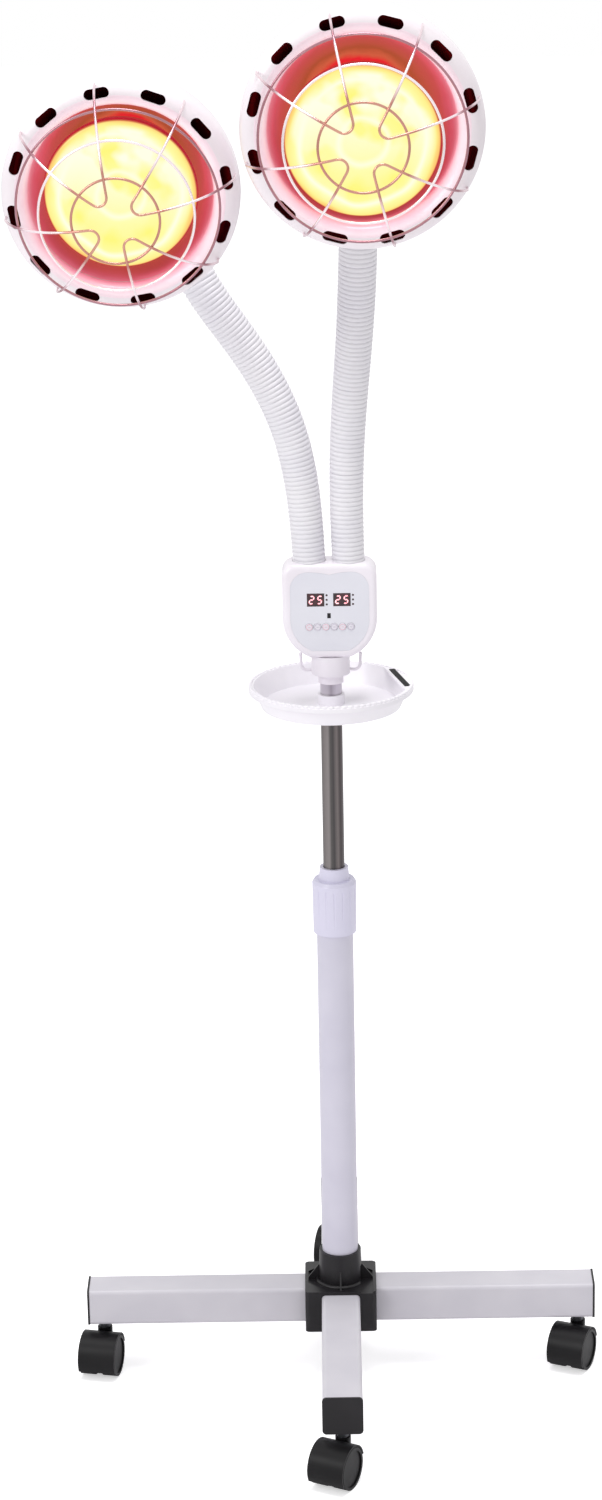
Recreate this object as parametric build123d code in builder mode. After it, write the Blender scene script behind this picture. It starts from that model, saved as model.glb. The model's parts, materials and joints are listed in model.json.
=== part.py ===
"""Two-headed infrared heat lamp on a castor stand.

The origin is the point on the floor under the mast, +Z is up and the lamp faces -Y.
All lengths are in millimetres.
"""

import os
from math import asin, atan2, cos, radians, sin, sqrt

from build123d import *

os.makedirs("parts", exist_ok=True)

# ---------------------------------------------------------------- clearances
SEAT = 0.15          # between two fixed pieces that locate each other
RUNNING = 0.06       # radial, a shaft turning or sliding in its bore
MOVING = 0.3         # between pieces that pass each other

# ---------------------------------------------------------------- base
LEG_REACH = 307.0            # mast axis to the outer face of an end cap
LEG_WIDTH = 46.0
LEG_HEIGHT = 45.0
LEG_WALL = 1.5
LEG_CORNER = 5.0
LEG_START = 25.0             # mast axis to the inner end of a leg
CASTOR_HEIGHT = 65.0         # floor to the underside of the legs
CAP_FACE = 2.5               # thickness of an end cap's face
CAP_LEDGE = 0.5              # the face's overhang beyond the leg's outside
CAP_PLUG = 34.0              # how far the end cap's plug reaches into the leg
HUB_WIDTH = 86.0
HUB_TOP_PLATE = 4.5
HUB_FLOOR = 3.0
HUB_CORNER = 5.0
HUB_RECESS_DEPTH = 2.5
HUB_RECESS_WIDTH = 78.0      # across the flats of the octagonal recess
SOCKET_WALL = 3.6
SOCKET_HEIGHT = 38.0         # above the hub's top plate
SOCKET_DEPTH = 30.0          # below the hub's top plate
SOCKET_DRAFT = 1.2           # how much wider the socket is at its foot
SOCKET_BEAD_RADIUS = 3.0     # the rolled bead round the socket's foot
SOCKET_BEAD_OFFSET = 2.5     # the bead's middle outside the socket's wall
RIB_THICKNESS = 2.0
RIB_HEIGHT = 20.0
RIB_ROOT = 1.0               # how far a gusset reaches into the socket's wall
RIB_INSET = 2.0              # hub's side to the foot of a gusset
RIB_TOP_LENGTH = 1.0         # a gusset's flat top outside the socket's wall
BOLT_RADIUS = 3.0
BOLT_HEAD_RADIUS = 5.0
BOLT_HEAD_HEIGHT = 2.6
BOLT_INSET = 9.0             # leg's inner end to its two bolts
BOLT_END = 3.0               # bolt's reach past the leg's wall

# ---------------------------------------------------------------- castors
STEM_INSET = 19.0            # end cap's outer face to the stem axis
STEM_RADIUS = 5.5
STEM_COLLAR_RADIUS = 6.8
STEM_RISE = 33.0             # stem's reach above the leg's underside
STEM_COLLAR_HEIGHT = 12.0    # leg's underside to the top of the fork
STEM_PIVOT_LENGTH = 14.0     # how deep the stem stands in the fork
STEM_STEP = 0.5              # the stem is thinner in the fork than in the leg
FORK_BOSS_WALL = 3.5         # round the stem
FORK_BOSS_FLOOR = 3.0        # under the stem
WHEEL_RADIUS = 25.0
WHEEL_WIDTH = 17.5
WHEEL_GAP = 10.0             # between the two wheels of a castor
WHEEL_DISH = 1.6             # depth of the disc inside the wheel's rim
WHEEL_RIM = 3.5              # width of the rim round the disc
WHEEL_ROOM = 0.7             # between a tread and the hood round it
TRAIL = 20.0                 # stem axis to wheel axis
AXLE_RADIUS = 3.0
HOOD_WALL = 2.0
HOOD_SKIRT = 13.5            # wheel axis down to the hood's lower edge
HOOD_REAR_EDGE = 7.0         # wheel axis up to the edge of the cut-away at the back
HOOD_REAR_CUT = 14.0         # wheel axis back to where that cut-away starts
WEB_SKIRT = 11.0             # wheel axis down to the web's lower edge
CASTOR_SWIVEL = {"left": -12.0, "front": -27.0, "right": -24.0, "rear": -15.0}

# ---------------------------------------------------------------- column
OUTER_TUBE_RADIUS = 21.45
OUTER_TUBE_WALL = 1.5
OUTER_TUBE_TOP = 604.0
STEEL_TUBE_RADIUS = 12.5
STEEL_TUBE_WALL = 1.2
STEEL_TUBE_BOTTOM = 270.0
COLLAR_LAP = 41.0            # how far the collar reaches down over the outer tube
COLLAR_HEIGHT = 65.0
COLLAR_RADIUS = 25.9
COLLAR_DRAFT = 0.6           # how much narrower the collar is at its foot
COLLAR_BEVEL = 2.5
COLLAR_BEVEL_HEIGHT = 4.0
COLLAR_NECK_RADIUS = 18.2
COLLAR_NECK_TAPER = 1.6
COLLAR_NECK_HEIGHT = 15.0
FLUTE_COUNT = 16             # grip flutes round the collar
FLUTE_RADIUS = 1.6
FLUTE_OFFSET = 0.9           # a flute's middle outside the collar
FLUTE_FOOT = 6.0             # collar's foot to the flutes
FLUTE_HEAD = 10.0            # flutes to the collar's top
BUSH_RADIUS = 15.4
BUSH_DEPTH = 35.0            # how far the bush reaches into the outer tube
BUSH_FLANGE = 3.0            # thickness of its flange on the tube's end
BUSH_SETBACK = 3.0           # collar's top to the bush's top
SLIT_COUNT = 4
SLIT_WIDTH = 1.2
SLIT_LENGTH = 22.0
GUIDE_LENGTH = 40.0
GUIDE_LAND = 8.0             # length of the guide's bearing bands
GUIDE_WALL = 3.0

# ---------------------------------------------------------------- tray
TRAY_RIM_RADIUS = 95.5
TRAY_RIM_HEIGHT = 866.0
TRAY_DEPTH = 25.0
TRAY_WALL = 2.2
TRAY_MOUTH_RADIUS = 90.5
TRAY_FLOOR_RADIUS = 81.0
TRAY_LIP = 6.5
TRAY_RIM_BEVEL = 2.0
TRAY_MOUTH_BEVEL = 1.0
TRAY_BOSS_RADIUS = 15.5
TRAY_BOSS_HEIGHT = 14.0
LEDGE_DISTANCE = 76.0        # mast axis to the straight edge of the ledge
LEDGE_DEPTH = 3.0
LEDGE_TURN = 14.0            # the ledge's direction, degrees from +X towards the back
STRIP_SETBACK = 2.75         # the ledge's straight edge to the strip
STRIP_LENGTH = 70.0
STRIP_WIDTH = 6.5
STRIP_THICKNESS = 1.6

# ---------------------------------------------------------------- control box
BOX_LIFT = 37.0              # tray's rim to the underside of the box
BOX_WIDTH = 108.0
BOX_DEPTH = 44.0
BOX_HEIGHT = 111.0
BOX_SIDE_RISE = 46.0         # underside of the box to where the straight sides start
BOX_BOTTOM_HALF = 22.5
BOX_CORNER = 15.0
BOX_EDGE = 6.0
BOX_WALL = 2.2
NECK_RADIUS = 22.2
NECK_HEIGHT = 23.0           # underside of the box to the neck's step
NECK_FOOT_RADIUS = 14.6
NECK_FOOT_HEIGHT = 11.0
NECK_PLUG_RADIUS = 17.2
NECK_PLUG_HEIGHT = 10.0      # how far the neck reaches up into the box
TUBE_CLEARANCE = 4.0         # top of the steel tube to the top of the neck's plug
HOOK_WIRE = 1.8
HOOK_REACH = 33.5
HOOK_ROOT = 2.0              # how far a hook reaches into the neck
HOOK_FALL = 2.0              # how much a hook sinks on its way out
HOOK_SPREAD = 1.0            # how much its upright leans out
HOOK_BEND = 7.0
HOOK_DROP = 21.0             # underside of the box to the lowest point of a hook
HOOK_TIP_DROP = 1.0          # underside of the box to its tip
HOOK_TIP_RADIUS = 2.2
PANEL_THICKNESS = 0.6
PANEL_MARGIN = 9.0           # box outline to the panel's edge
PANEL_SHOULDER = 20.0        # radius of the panel's upper corners
LOBE_RADIUS = 94.0           # the panel's top edge is two low arcs of this radius
LOBE_X = 25.0                # box's middle to the top of each arc
FLUSH_STEP = 0.1             # windows and displays lie this far behind the panel's face
DISPLAY_WIDTH = 19.6
DISPLAY_HEIGHT = 15.2
DISPLAY_X = (-16.0, 14.0)
DISPLAY_RISE = 69.5          # from the underside of the box, like the rises below
LED_RADIUS = 1.1
LED_OFFSET = 12.6            # display centre to its column of three lights
LED_PITCH = 5.4
WINDOW_WIDTH = 3.8
WINDOW_HEIGHT = 5.8
WINDOW_RISE = 50.7
BUTTON_COUNT = 6
BUTTON_PITCH = 9.5
BUTTON_RADIUS = 4.2
BUTTON_RISE = 37.5
BUTTON_PROUD = 0.9
BUTTON_TRAVEL = 0.5
BUTTON_STEM_RADIUS = 1.6
BUTTON_TAB_WIDTH = 5.0       # the tabs behind the wall that keep a button in
BUTTON_TAB_HEIGHT = 11.5
BUTTON_TAB_THICKNESS = 1.0
BOARD_THICKNESS = 1.6
BOARD_SETBACK = 10.0         # box front to the board's face
BOARD_WIDTH = 76.0
BOARD_RISE = 17.0
BOARD_HEIGHT = 81.0
STANDOFF_RADIUS = 2.5
STANDOFF_INSET = 5.0         # board's edges to the standoffs
SCREW_RADIUS = 2.0
SCREW_HEAD_RADIUS = 3.6
SCREW_HEAD_HEIGHT = 2.0
SCREW_BITE = 9.0             # the screw's reach into the front shell
BOSS_RADIUS = 4.0
BOSS_X = 44.0
BOSS_RISE = (32.0, 89.0)
GLAND_RADIUS = 7.5
GLAND_BORE = 3.6
GLAND_LENGTH = 16.0
GLAND_TAPER = 1.5
GLAND_BEVEL = 1.0
GLAND_RISE = 22.0
GLAND_THREAD_RADIUS = 6.2
GLAND_NUT_RADIUS = 9.0
GLAND_NUT_HEIGHT = 4.0

# ---------------------------------------------------------------- arms
ARM_SPACING = 44.6           # between the two hoses where they leave the box
HOSE_RADIUS_LOW = 18.8
HOSE_RADIUS_HIGH = 21.6
HOSE_FULL_SIZE_AT = 340.0    # length of hose over which it widens
BALL_SHARE = 0.65            # joint ball over hose radius
JOINT_GAP = 5.5              # joint centre to the shoulder on each side
SHOULDER_SHARE = 0.84        # a link's end over its full radius
SHOULDER_LENGTH = 5.0
HOSE_SEAT = 8.0              # how far the hose reaches into the box and into a head
ELBOW_RADIUS = 66.0

# ---------------------------------------------------------------- heads
HEAD_RADIUS = 125.0
HEAD_WALL = 2.2
FLANGE_CROWN = 109.0         # radius of the flange's foremost ring
RIM_BAND = 6.0               # straight band behind the rolled rim
SLOT_COUNT = 12
SLOT_TURN = 15.0             # the first slot's angle
SLOT_CIRCLE = 113.0
SLOT_LENGTH = 26.5
SLOT_WIDTH = 11.0
MOUTH_RADIUS = 97.0          # bowl where it meets the flange
BOWL_MID_RADIUS = 84.0
BOWL_MID_DEPTH = 70.0
NECK_OPENING = 38.5
HOOD_DEPTH = 128.0
SHELL_MID_RADIUS = 110.0     # the hood's back shell between its rim and the rear cap
SHELL_MID_DEPTH = 78.0
SLOT_DEPTH = 16.0            # the slots go through the flange and end before the back shell
SPIGOT_LENGTH = 8.0          # the hood's neck, which the rear cap fits over
CAP_DEPTH = 195.0            # crown of the flange to where the hose enters
CAP_SHOULDER_DEPTH = 152.0
CAP_REAR_RADIUS = 27.0
CAP_END_WALL = 19.0          # the cavity's bottom to the cap's rear face
CAP_FLOOR_RADIUS = 26.0
BULB_RADIUS = 81.0
BULB_APEX_DEPTH = 4.0
BULB_FACE_RADIUS = 76.0
BULB_FACE_DEPTH = 12.0
BULB_SHOULDER_ANGLE = 50.0   # where the shoulder's arc is held between face and widest ring
BULB_WIDEST_DEPTH = 19.0
BULB_BELLY_RADIUS = 66.0
BULB_BELLY_DEPTH = 65.0
BULB_THROAT_RADIUS = 26.0
BULB_THROAT_DEPTH = 120.0
BULB_NECK_RADIUS = 19.5
BULB_NECK_DEPTH = 139.0
BULB_GLASS = 1.4
BASE_RADIUS = 13.2           # the bulb's screw base
BASE_TAPER = 7.0
BASE_DEPTH = 165.0
BASE_TIP_RADIUS = 5.0
BASE_TIP = 3.0
BULB_PIVOT = 172.0           # the lamp holder's fixing, behind the crown
PIVOT_INSET = 23.0           # cap's rear face to the lamp holder's fixing
HOLDER_RADIUS = 22.0
HOLDER_DEPTH = 182.0
WIRE_HOLE_RADIUS = 4.0
GUARD_WIRE = 1.35            # radius of the guard's wire
GUARD_WELD = 2.0             # between the middles of a ring and a wire that cross
GUARD_WIRE_SIDES = 6
GUARD_FOOT_WIRE = 1.15       # radius of the turned-down wire ends
GUARD_LAP = 0.4              # how far a wire end reaches into its wire
GUARD_FOOT_RADIUS = 122.0
GUARD_FOOT_DEPTH = 12.0      # how far the wire ends reach behind the crown
GUARD_SECTION_RADIUS = 106.4  # the dome's curve is an arc of this radius
GUARD_SECTION_OFFSET = 20.4  # head axis to the arc's centre
GUARD_SECTION_DEPTH = 27.5   # crown to the arc's centre
GUARD_RINGS = (107.0, 81.5, 46.0)
GUARD_PAIRS = 4
GUARD_TURN = 37.5            # direction of the first pair of wires
GUARD_SPREAD = 22.5          # half the angle between the feet of a pair
GUARD_APEX = 22.0            # the wires' inner bends, from the centre
GUARD_BEND = 9.0

# Each head: the middle of its rear face over the box's top, nod below level, turn from -Y
# towards +X, roll about its own axis, droop of its bulb, and the straight length behind the
# cap to the hose's elbow.
HEADS = {
    "right": {"rear": (41.0, -155.5, 552.6), "nod": 4.0, "turn": 0.0, "roll": 0.0,
              "droop": 4.6, "elbow": 72.0},
    "left": {"rear": (-207.6, -67.4, 491.5), "nod": 9.0, "turn": -1.0, "roll": -5.0,
             "droop": 0.0, "elbow": 92.0},
}
# The places where each arm bends, over the box's top.
ARM_JOINTS = {
    "right": ((21.0, 0.0, 58.0), (23.8, -4.0, 156.0), (31.7, -17.0, 255.0), (37.0, -38.0, 353.0)),
    "left": ((-26.3, 0.0, 58.0), (-44.3, -2.0, 156.0), (-93.0, -4.0, 253.0), (-143.0, -6.0, 331.0)),
}

LEG_TOP = CASTOR_HEIGHT + LEG_HEIGHT
LEG_MIDDLE = CASTOR_HEIGHT + LEG_HEIGHT / 2
HUB_TOP = LEG_TOP + HUB_TOP_PLATE
HUB_BOTTOM = CASTOR_HEIGHT - HUB_FLOOR
SOCKET_TOP = HUB_TOP + SOCKET_HEIGHT
TUBE_FOOT = HUB_TOP - SOCKET_DEPTH
STEM_REACH = LEG_REACH - STEM_INSET
COLLAR_BOTTOM = OUTER_TUBE_TOP - COLLAR_LAP
COLLAR_TOP = COLLAR_BOTTOM + COLLAR_HEIGHT
COLLAR_NECK_TOP = COLLAR_TOP + COLLAR_NECK_HEIGHT
TRAY_FLOOR = TRAY_RIM_HEIGHT - TRAY_DEPTH
BOX_BOTTOM = TRAY_RIM_HEIGHT + BOX_LIFT
BOX_SIDE_BOTTOM = BOX_BOTTOM + BOX_SIDE_RISE
BOX_TOP = BOX_BOTTOM + BOX_HEIGHT
BOX_FRONT = -BOX_DEPTH / 2
BOX_BACK = BOX_DEPTH / 2
NECK_BOTTOM = BOX_BOTTOM - NECK_HEIGHT
NECK_FOOT_BOTTOM = NECK_BOTTOM - NECK_FOOT_HEIGHT
HOOK_LOW = BOX_BOTTOM - HOOK_DROP
HOOK_TIP = BOX_BOTTOM - HOOK_TIP_DROP
DISPLAY_Z = BOX_BOTTOM + DISPLAY_RISE
WINDOW_Z = BOX_BOTTOM + WINDOW_RISE
BUTTON_Z = BOX_BOTTOM + BUTTON_RISE
BOARD_BOTTOM = BOX_BOTTOM + BOARD_RISE
BOARD_TOP = BOARD_BOTTOM + BOARD_HEIGHT
LEG_ANGLES = {"right": 0.0, "rear": 90.0, "left": 180.0, "front": 270.0}


def save(builder, name):
    """Label a finished piece and write its STEP file."""
    builder.part.label = name
    export_step(builder.part, f"parts/{name}.step")


def lathe_plane(plane):
    """The plane through a plane's normal: local X is radial, local Y is the normal."""
    return Plane(origin=plane.origin, x_dir=plane.x_dir, z_dir=-plane.y_dir)


def spin_axis(plane):
    """The axis through a plane's origin along its normal."""
    return Axis(plane.origin, plane.z_dir)


# ================================================================ base
def leg_plane(angle):
    """A plane across one leg at its inner end, its normal pointing outwards."""
    outward = Vector(cos(radians(angle)), sin(radians(angle)), 0)
    across = Vector(-sin(radians(angle)), cos(radians(angle)), 0)
    origin = outward * LEG_START + Vector(0, 0, LEG_MIDDLE)
    return Plane(origin=origin, x_dir=across, z_dir=outward)


LEG_PLANES = {name: leg_plane(angle) for name, angle in LEG_ANGLES.items()}
LEG_LENGTH = LEG_REACH - CAP_FACE - LEG_START


def stem_place(plane):
    """The point on the floor under a leg's castor stem."""
    place = plane.origin + plane.z_dir * (STEM_REACH - LEG_START)
    return Vector(place.X, place.Y, 0)


def bolt_places(plane):
    """The two bolts that hold a leg down in the hub, seen from above."""
    middle = plane.origin + plane.z_dir * BOLT_INSET
    sides = [middle + plane.x_dir * (side * LEG_WIDTH / 4) for side in (-1, 1)]
    return [(place.X, place.Y) for place in sides]


with BuildPart() as hub:
    with BuildSketch(Plane.XY.offset(HUB_BOTTOM)):
        RectangleRounded(HUB_WIDTH, HUB_WIDTH, HUB_CORNER)
    extrude(amount=HUB_TOP - HUB_BOTTOM)
    # the octagonal recess in the top leaves four raised corner pads
    with BuildSketch(Plane.XY.offset(HUB_TOP)):
        RegularPolygon(HUB_RECESS_WIDTH / 2, 8, major_radius=False, rotation=22.5)
    extrude(amount=-HUB_RECESS_DEPTH, mode=Mode.SUBTRACT)
    # the socket that holds the outer tube, slightly wider at its foot
    socket_radius = OUTER_TUBE_RADIUS + SOCKET_WALL
    with BuildSketch(Plane.XY.offset(HUB_TOP - HUB_RECESS_DEPTH)):
        Circle(socket_radius + SOCKET_DRAFT)
    with BuildSketch(Plane.XY.offset(SOCKET_TOP)):
        Circle(socket_radius)
    loft()
    with BuildSketch(Plane.XZ):
        with Locations((socket_radius + SOCKET_BEAD_OFFSET, HUB_TOP - HUB_RECESS_DEPTH)):
            Circle(SOCKET_BEAD_RADIUS)
    revolve(axis=Axis.Z)
    # four gussets, one over each leg
    with BuildSketch(Plane.XZ.offset(RIB_THICKNESS / 2)) as rib_section:
        with BuildLine():
            Polyline(
                (socket_radius - RIB_ROOT, HUB_TOP - HUB_RECESS_DEPTH),
                (HUB_WIDTH / 2 - RIB_INSET, HUB_TOP - HUB_RECESS_DEPTH),
                (socket_radius + RIB_TOP_LENGTH, HUB_TOP - HUB_RECESS_DEPTH + RIB_HEIGHT),
                (socket_radius - RIB_ROOT, HUB_TOP - HUB_RECESS_DEPTH + RIB_HEIGHT),
                close=True,
            )
        make_face()
    rib = extrude(rib_section.sketch, amount=-RIB_THICKNESS, mode=Mode.PRIVATE)
    for angle in LEG_ANGLES.values():
        add(rib.rotate(Axis.Z, angle))
    # bore for the tube and a pocket for each leg
    with BuildSketch(Plane.XY.offset(TUBE_FOOT)):
        Circle(OUTER_TUBE_RADIUS + SEAT)
    extrude(amount=SOCKET_TOP - TUBE_FOOT, mode=Mode.SUBTRACT)
    for plane in LEG_PLANES.values():
        with BuildSketch(plane.offset(-SEAT)):
            RectangleRounded(LEG_WIDTH + 2 * SEAT, LEG_HEIGHT + 2 * SEAT, LEG_CORNER)
        extrude(amount=HUB_WIDTH, mode=Mode.SUBTRACT)
        # two bolts hold each leg down
        with BuildSketch(Plane.XY.offset(HUB_BOTTOM)):
            with Locations(*bolt_places(plane)):
                Circle(BOLT_RADIUS + SEAT)
        extrude(amount=HUB_FLOOR, mode=Mode.SUBTRACT)
save(hub, "base_hub")

for name, plane in LEG_PLANES.items():
    with BuildPart() as leg:
        with BuildSketch(plane):
            RectangleRounded(LEG_WIDTH, LEG_HEIGHT, LEG_CORNER)
            RectangleRounded(
                LEG_WIDTH - 2 * LEG_WALL,
                LEG_HEIGHT - 2 * LEG_WALL,
                LEG_CORNER - LEG_WALL,
                mode=Mode.SUBTRACT,
            )
        extrude(amount=LEG_LENGTH)
        # holes in the underside for the castor stem and the two hub bolts
        with BuildSketch(Plane.XY.offset(CASTOR_HEIGHT)):
            with Locations((stem_place(plane).X, stem_place(plane).Y)):
                Circle(STEM_RADIUS + SEAT)
            with Locations(*bolt_places(plane)):
                Circle(BOLT_RADIUS + SEAT)
        extrude(amount=LEG_WALL, mode=Mode.SUBTRACT)
    save(leg, f"leg_{name}")

with BuildPart() as end_caps:
    for plane in LEG_PLANES.values():
        with BuildSketch(plane.offset(LEG_LENGTH)):
            RectangleRounded(LEG_WIDTH + 2 * CAP_LEDGE, LEG_HEIGHT + 2 * CAP_LEDGE, LEG_CORNER)
        extrude(amount=CAP_FACE)
        inner_width = LEG_WIDTH - 2 * LEG_WALL - 2 * SEAT
        inner_height = LEG_HEIGHT - 2 * LEG_WALL - 2 * SEAT
        with BuildSketch(plane.offset(LEG_LENGTH)):
            RectangleRounded(inner_width, inner_height, LEG_CORNER - LEG_WALL)
        extrude(amount=-CAP_PLUG)
        with BuildSketch(Plane.XY.offset(CASTOR_HEIGHT)):
            with Locations((stem_place(plane).X, stem_place(plane).Y)):
                Circle(STEM_RADIUS + SEAT)
        extrude(amount=STEM_RISE + SEAT, mode=Mode.SUBTRACT)
save(end_caps, "leg_end_caps")

with BuildPart() as hub_bolts:
    for plane in LEG_PLANES.values():
        with BuildSketch(Plane.XY.offset(HUB_BOTTOM)):
            with Locations(*bolt_places(plane)):
                Circle(BOLT_RADIUS)
        extrude(amount=HUB_FLOOR + LEG_WALL + BOLT_END)
        with BuildSketch(Plane.XY.offset(HUB_BOTTOM)):
            with Locations(*bolt_places(plane)):
                Circle(BOLT_HEAD_RADIUS)
        extrude(amount=-BOLT_HEAD_HEIGHT)
save(hub_bolts, "hub_bolts")

# ================================================================ castors
FORK_TOP = CASTOR_HEIGHT - STEM_COLLAR_HEIGHT
STEM_FOOT = FORK_TOP - STEM_PIVOT_LENGTH
PIVOT_RADIUS = STEM_RADIUS - STEM_STEP
HOOD_RADIUS = FORK_TOP - WHEEL_RADIUS
FORK_WIDTH = WHEEL_GAP + 2 * WHEEL_WIDTH

with BuildPart() as stems:
    for plane in LEG_PLANES.values():
        place = stem_place(plane)
        with BuildSketch(Plane(origin=place + Vector(0, 0, STEM_FOOT))):
            Circle(PIVOT_RADIUS)
        extrude(amount=FORK_TOP - STEM_FOOT + MOVING)
        with BuildSketch(Plane(origin=place + Vector(0, 0, FORK_TOP + MOVING))):
            Circle(STEM_COLLAR_RADIUS)
        extrude(amount=CASTOR_HEIGHT - FORK_TOP - MOVING)
        with BuildSketch(Plane(origin=place + Vector(0, 0, CASTOR_HEIGHT))):
            Circle(STEM_RADIUS)
        extrude(amount=STEM_RISE)
save(stems, "castor_stems")


def castor_plane(name):
    """A castor's own frame: origin under the stem, X along the axle, -Y the trail."""
    turn = radians(CASTOR_SWIVEL[name])
    return Plane(origin=stem_place(LEG_PLANES[name]), x_dir=(cos(turn), sin(turn), 0), z_dir=(0, 0, 1))


for name in LEG_ANGLES:
    frame = castor_plane(name)
    wheel_centre = frame.origin - frame.y_dir * TRAIL + Vector(0, 0, WHEEL_RADIUS)
    # looking along the axle: local X is the trail direction, local Y is up
    side_view = Plane(origin=wheel_centre, x_dir=-frame.y_dir, z_dir=-frame.x_dir)
    with BuildPart() as fork:
        # the curved hood over both treads, open underneath and at the back
        with BuildSketch(side_view.offset(-FORK_WIDTH / 2)):
            Circle(HOOD_RADIUS)
            Circle(HOOD_RADIUS - HOOD_WALL, mode=Mode.SUBTRACT)
            with Locations((0, -HOOD_SKIRT)):
                Rectangle(
                    3 * HOOD_RADIUS, HOOD_RADIUS, mode=Mode.SUBTRACT, align=(Align.CENTER, Align.MAX)
                )
            with Locations((-HOOD_REAR_CUT, HOOD_REAR_EDGE)):
                Rectangle(
                    HOOD_RADIUS, 2 * HOOD_RADIUS, mode=Mode.SUBTRACT, align=(Align.MAX, Align.MAX)
                )
        extrude(amount=FORK_WIDTH)
        # the web between the wheels carries the axle
        with BuildSketch(side_view.offset(-WHEEL_GAP / 2 + MOVING)):
            Circle(HOOD_RADIUS - HOOD_WALL / 2)
            with Locations((0, -WEB_SKIRT)):
                Rectangle(
                    3 * HOOD_RADIUS, HOOD_RADIUS, mode=Mode.SUBTRACT, align=(Align.CENTER, Align.MAX)
                )
        extrude(amount=WHEEL_GAP - 2 * MOVING)
        # the boss round the stem
        with BuildSketch(Plane(origin=frame.origin + Vector(0, 0, STEM_FOOT - FORK_BOSS_FLOOR))):
            Circle(STEM_RADIUS + FORK_BOSS_WALL)
        extrude(amount=FORK_TOP - STEM_FOOT + FORK_BOSS_FLOOR)
        # room for the wheels, which the boss reaches into
        for side in (-1, 1):
            with BuildSketch(side_view.offset(side * (WHEEL_GAP / 2 - MOVING))):
                Circle(WHEEL_RADIUS + WHEEL_ROOM)
            extrude(amount=side * (WHEEL_WIDTH + 2 * MOVING), mode=Mode.SUBTRACT)
        with BuildSketch(Plane(origin=frame.origin + Vector(0, 0, STEM_FOOT - MOVING))):
            Circle(PIVOT_RADIUS + RUNNING)
        extrude(amount=FORK_TOP, mode=Mode.SUBTRACT)
        with BuildSketch(side_view.offset(-WHEEL_GAP)):
            Circle(AXLE_RADIUS + RUNNING)
        extrude(amount=2 * WHEEL_GAP, mode=Mode.SUBTRACT)
    save(fork, f"castor_fork_{name}")

    with BuildPart() as wheels:
        for side in (-1, 1):
            inner_face = side_view.offset(side * WHEEL_GAP / 2)
            with BuildSketch(inner_face):
                Circle(WHEEL_RADIUS)
            extrude(amount=side * WHEEL_WIDTH)
            outer_face = side_view.offset(side * (WHEEL_GAP / 2 + WHEEL_WIDTH))
            with BuildSketch(outer_face):
                Circle(WHEEL_RADIUS - WHEEL_RIM)
            extrude(amount=-side * WHEEL_DISH, mode=Mode.SUBTRACT)
        with BuildSketch(side_view.offset(-WHEEL_GAP)):
            Circle(AXLE_RADIUS)
        extrude(amount=2 * WHEEL_GAP)
    save(wheels, f"castor_wheels_{name}")

# ================================================================ column
with BuildPart() as outer_tube:
    with BuildSketch(Plane.XY.offset(TUBE_FOOT)):
        Circle(OUTER_TUBE_RADIUS)
        Circle(OUTER_TUBE_RADIUS - OUTER_TUBE_WALL, mode=Mode.SUBTRACT)
    extrude(amount=OUTER_TUBE_TOP - TUBE_FOOT)
save(outer_tube, "outer_tube")

# The bush fills the top of the outer tube and grips the steel tube.
BUSH_TOP = COLLAR_NECK_TOP - BUSH_SETBACK
with BuildPart() as bush:
    with BuildSketch(Plane.XY.offset(BUSH_TOP)):
        Circle(BUSH_RADIUS)
    extrude(amount=-(BUSH_TOP - OUTER_TUBE_TOP))
    with BuildSketch(Plane.XY.offset(OUTER_TUBE_TOP + BUSH_FLANGE)):
        Circle(OUTER_TUBE_RADIUS)
    extrude(amount=RUNNING - BUSH_FLANGE)
    with BuildSketch(Plane.XY.offset(OUTER_TUBE_TOP + RUNNING)):
        Circle(OUTER_TUBE_RADIUS - OUTER_TUBE_WALL - RUNNING)
    extrude(amount=-BUSH_DEPTH)
    with BuildSketch(Plane.XY.offset(BUSH_TOP)):
        Circle(STEEL_TUBE_RADIUS + RUNNING)
    extrude(amount=OUTER_TUBE_TOP - BUSH_DEPTH - BUSH_TOP, mode=Mode.SUBTRACT)
    # slits let the top of the bush close on the tube
    with BuildSketch(Plane.XY.offset(BUSH_TOP)):
        with PolarLocations(BUSH_RADIUS, SLIT_COUNT, start_angle=45):
            Rectangle(2 * (BUSH_RADIUS - STEEL_TUBE_RADIUS), SLIT_WIDTH)
    extrude(amount=-SLIT_LENGTH, mode=Mode.SUBTRACT)
save(bush, "column_bush")

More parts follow.
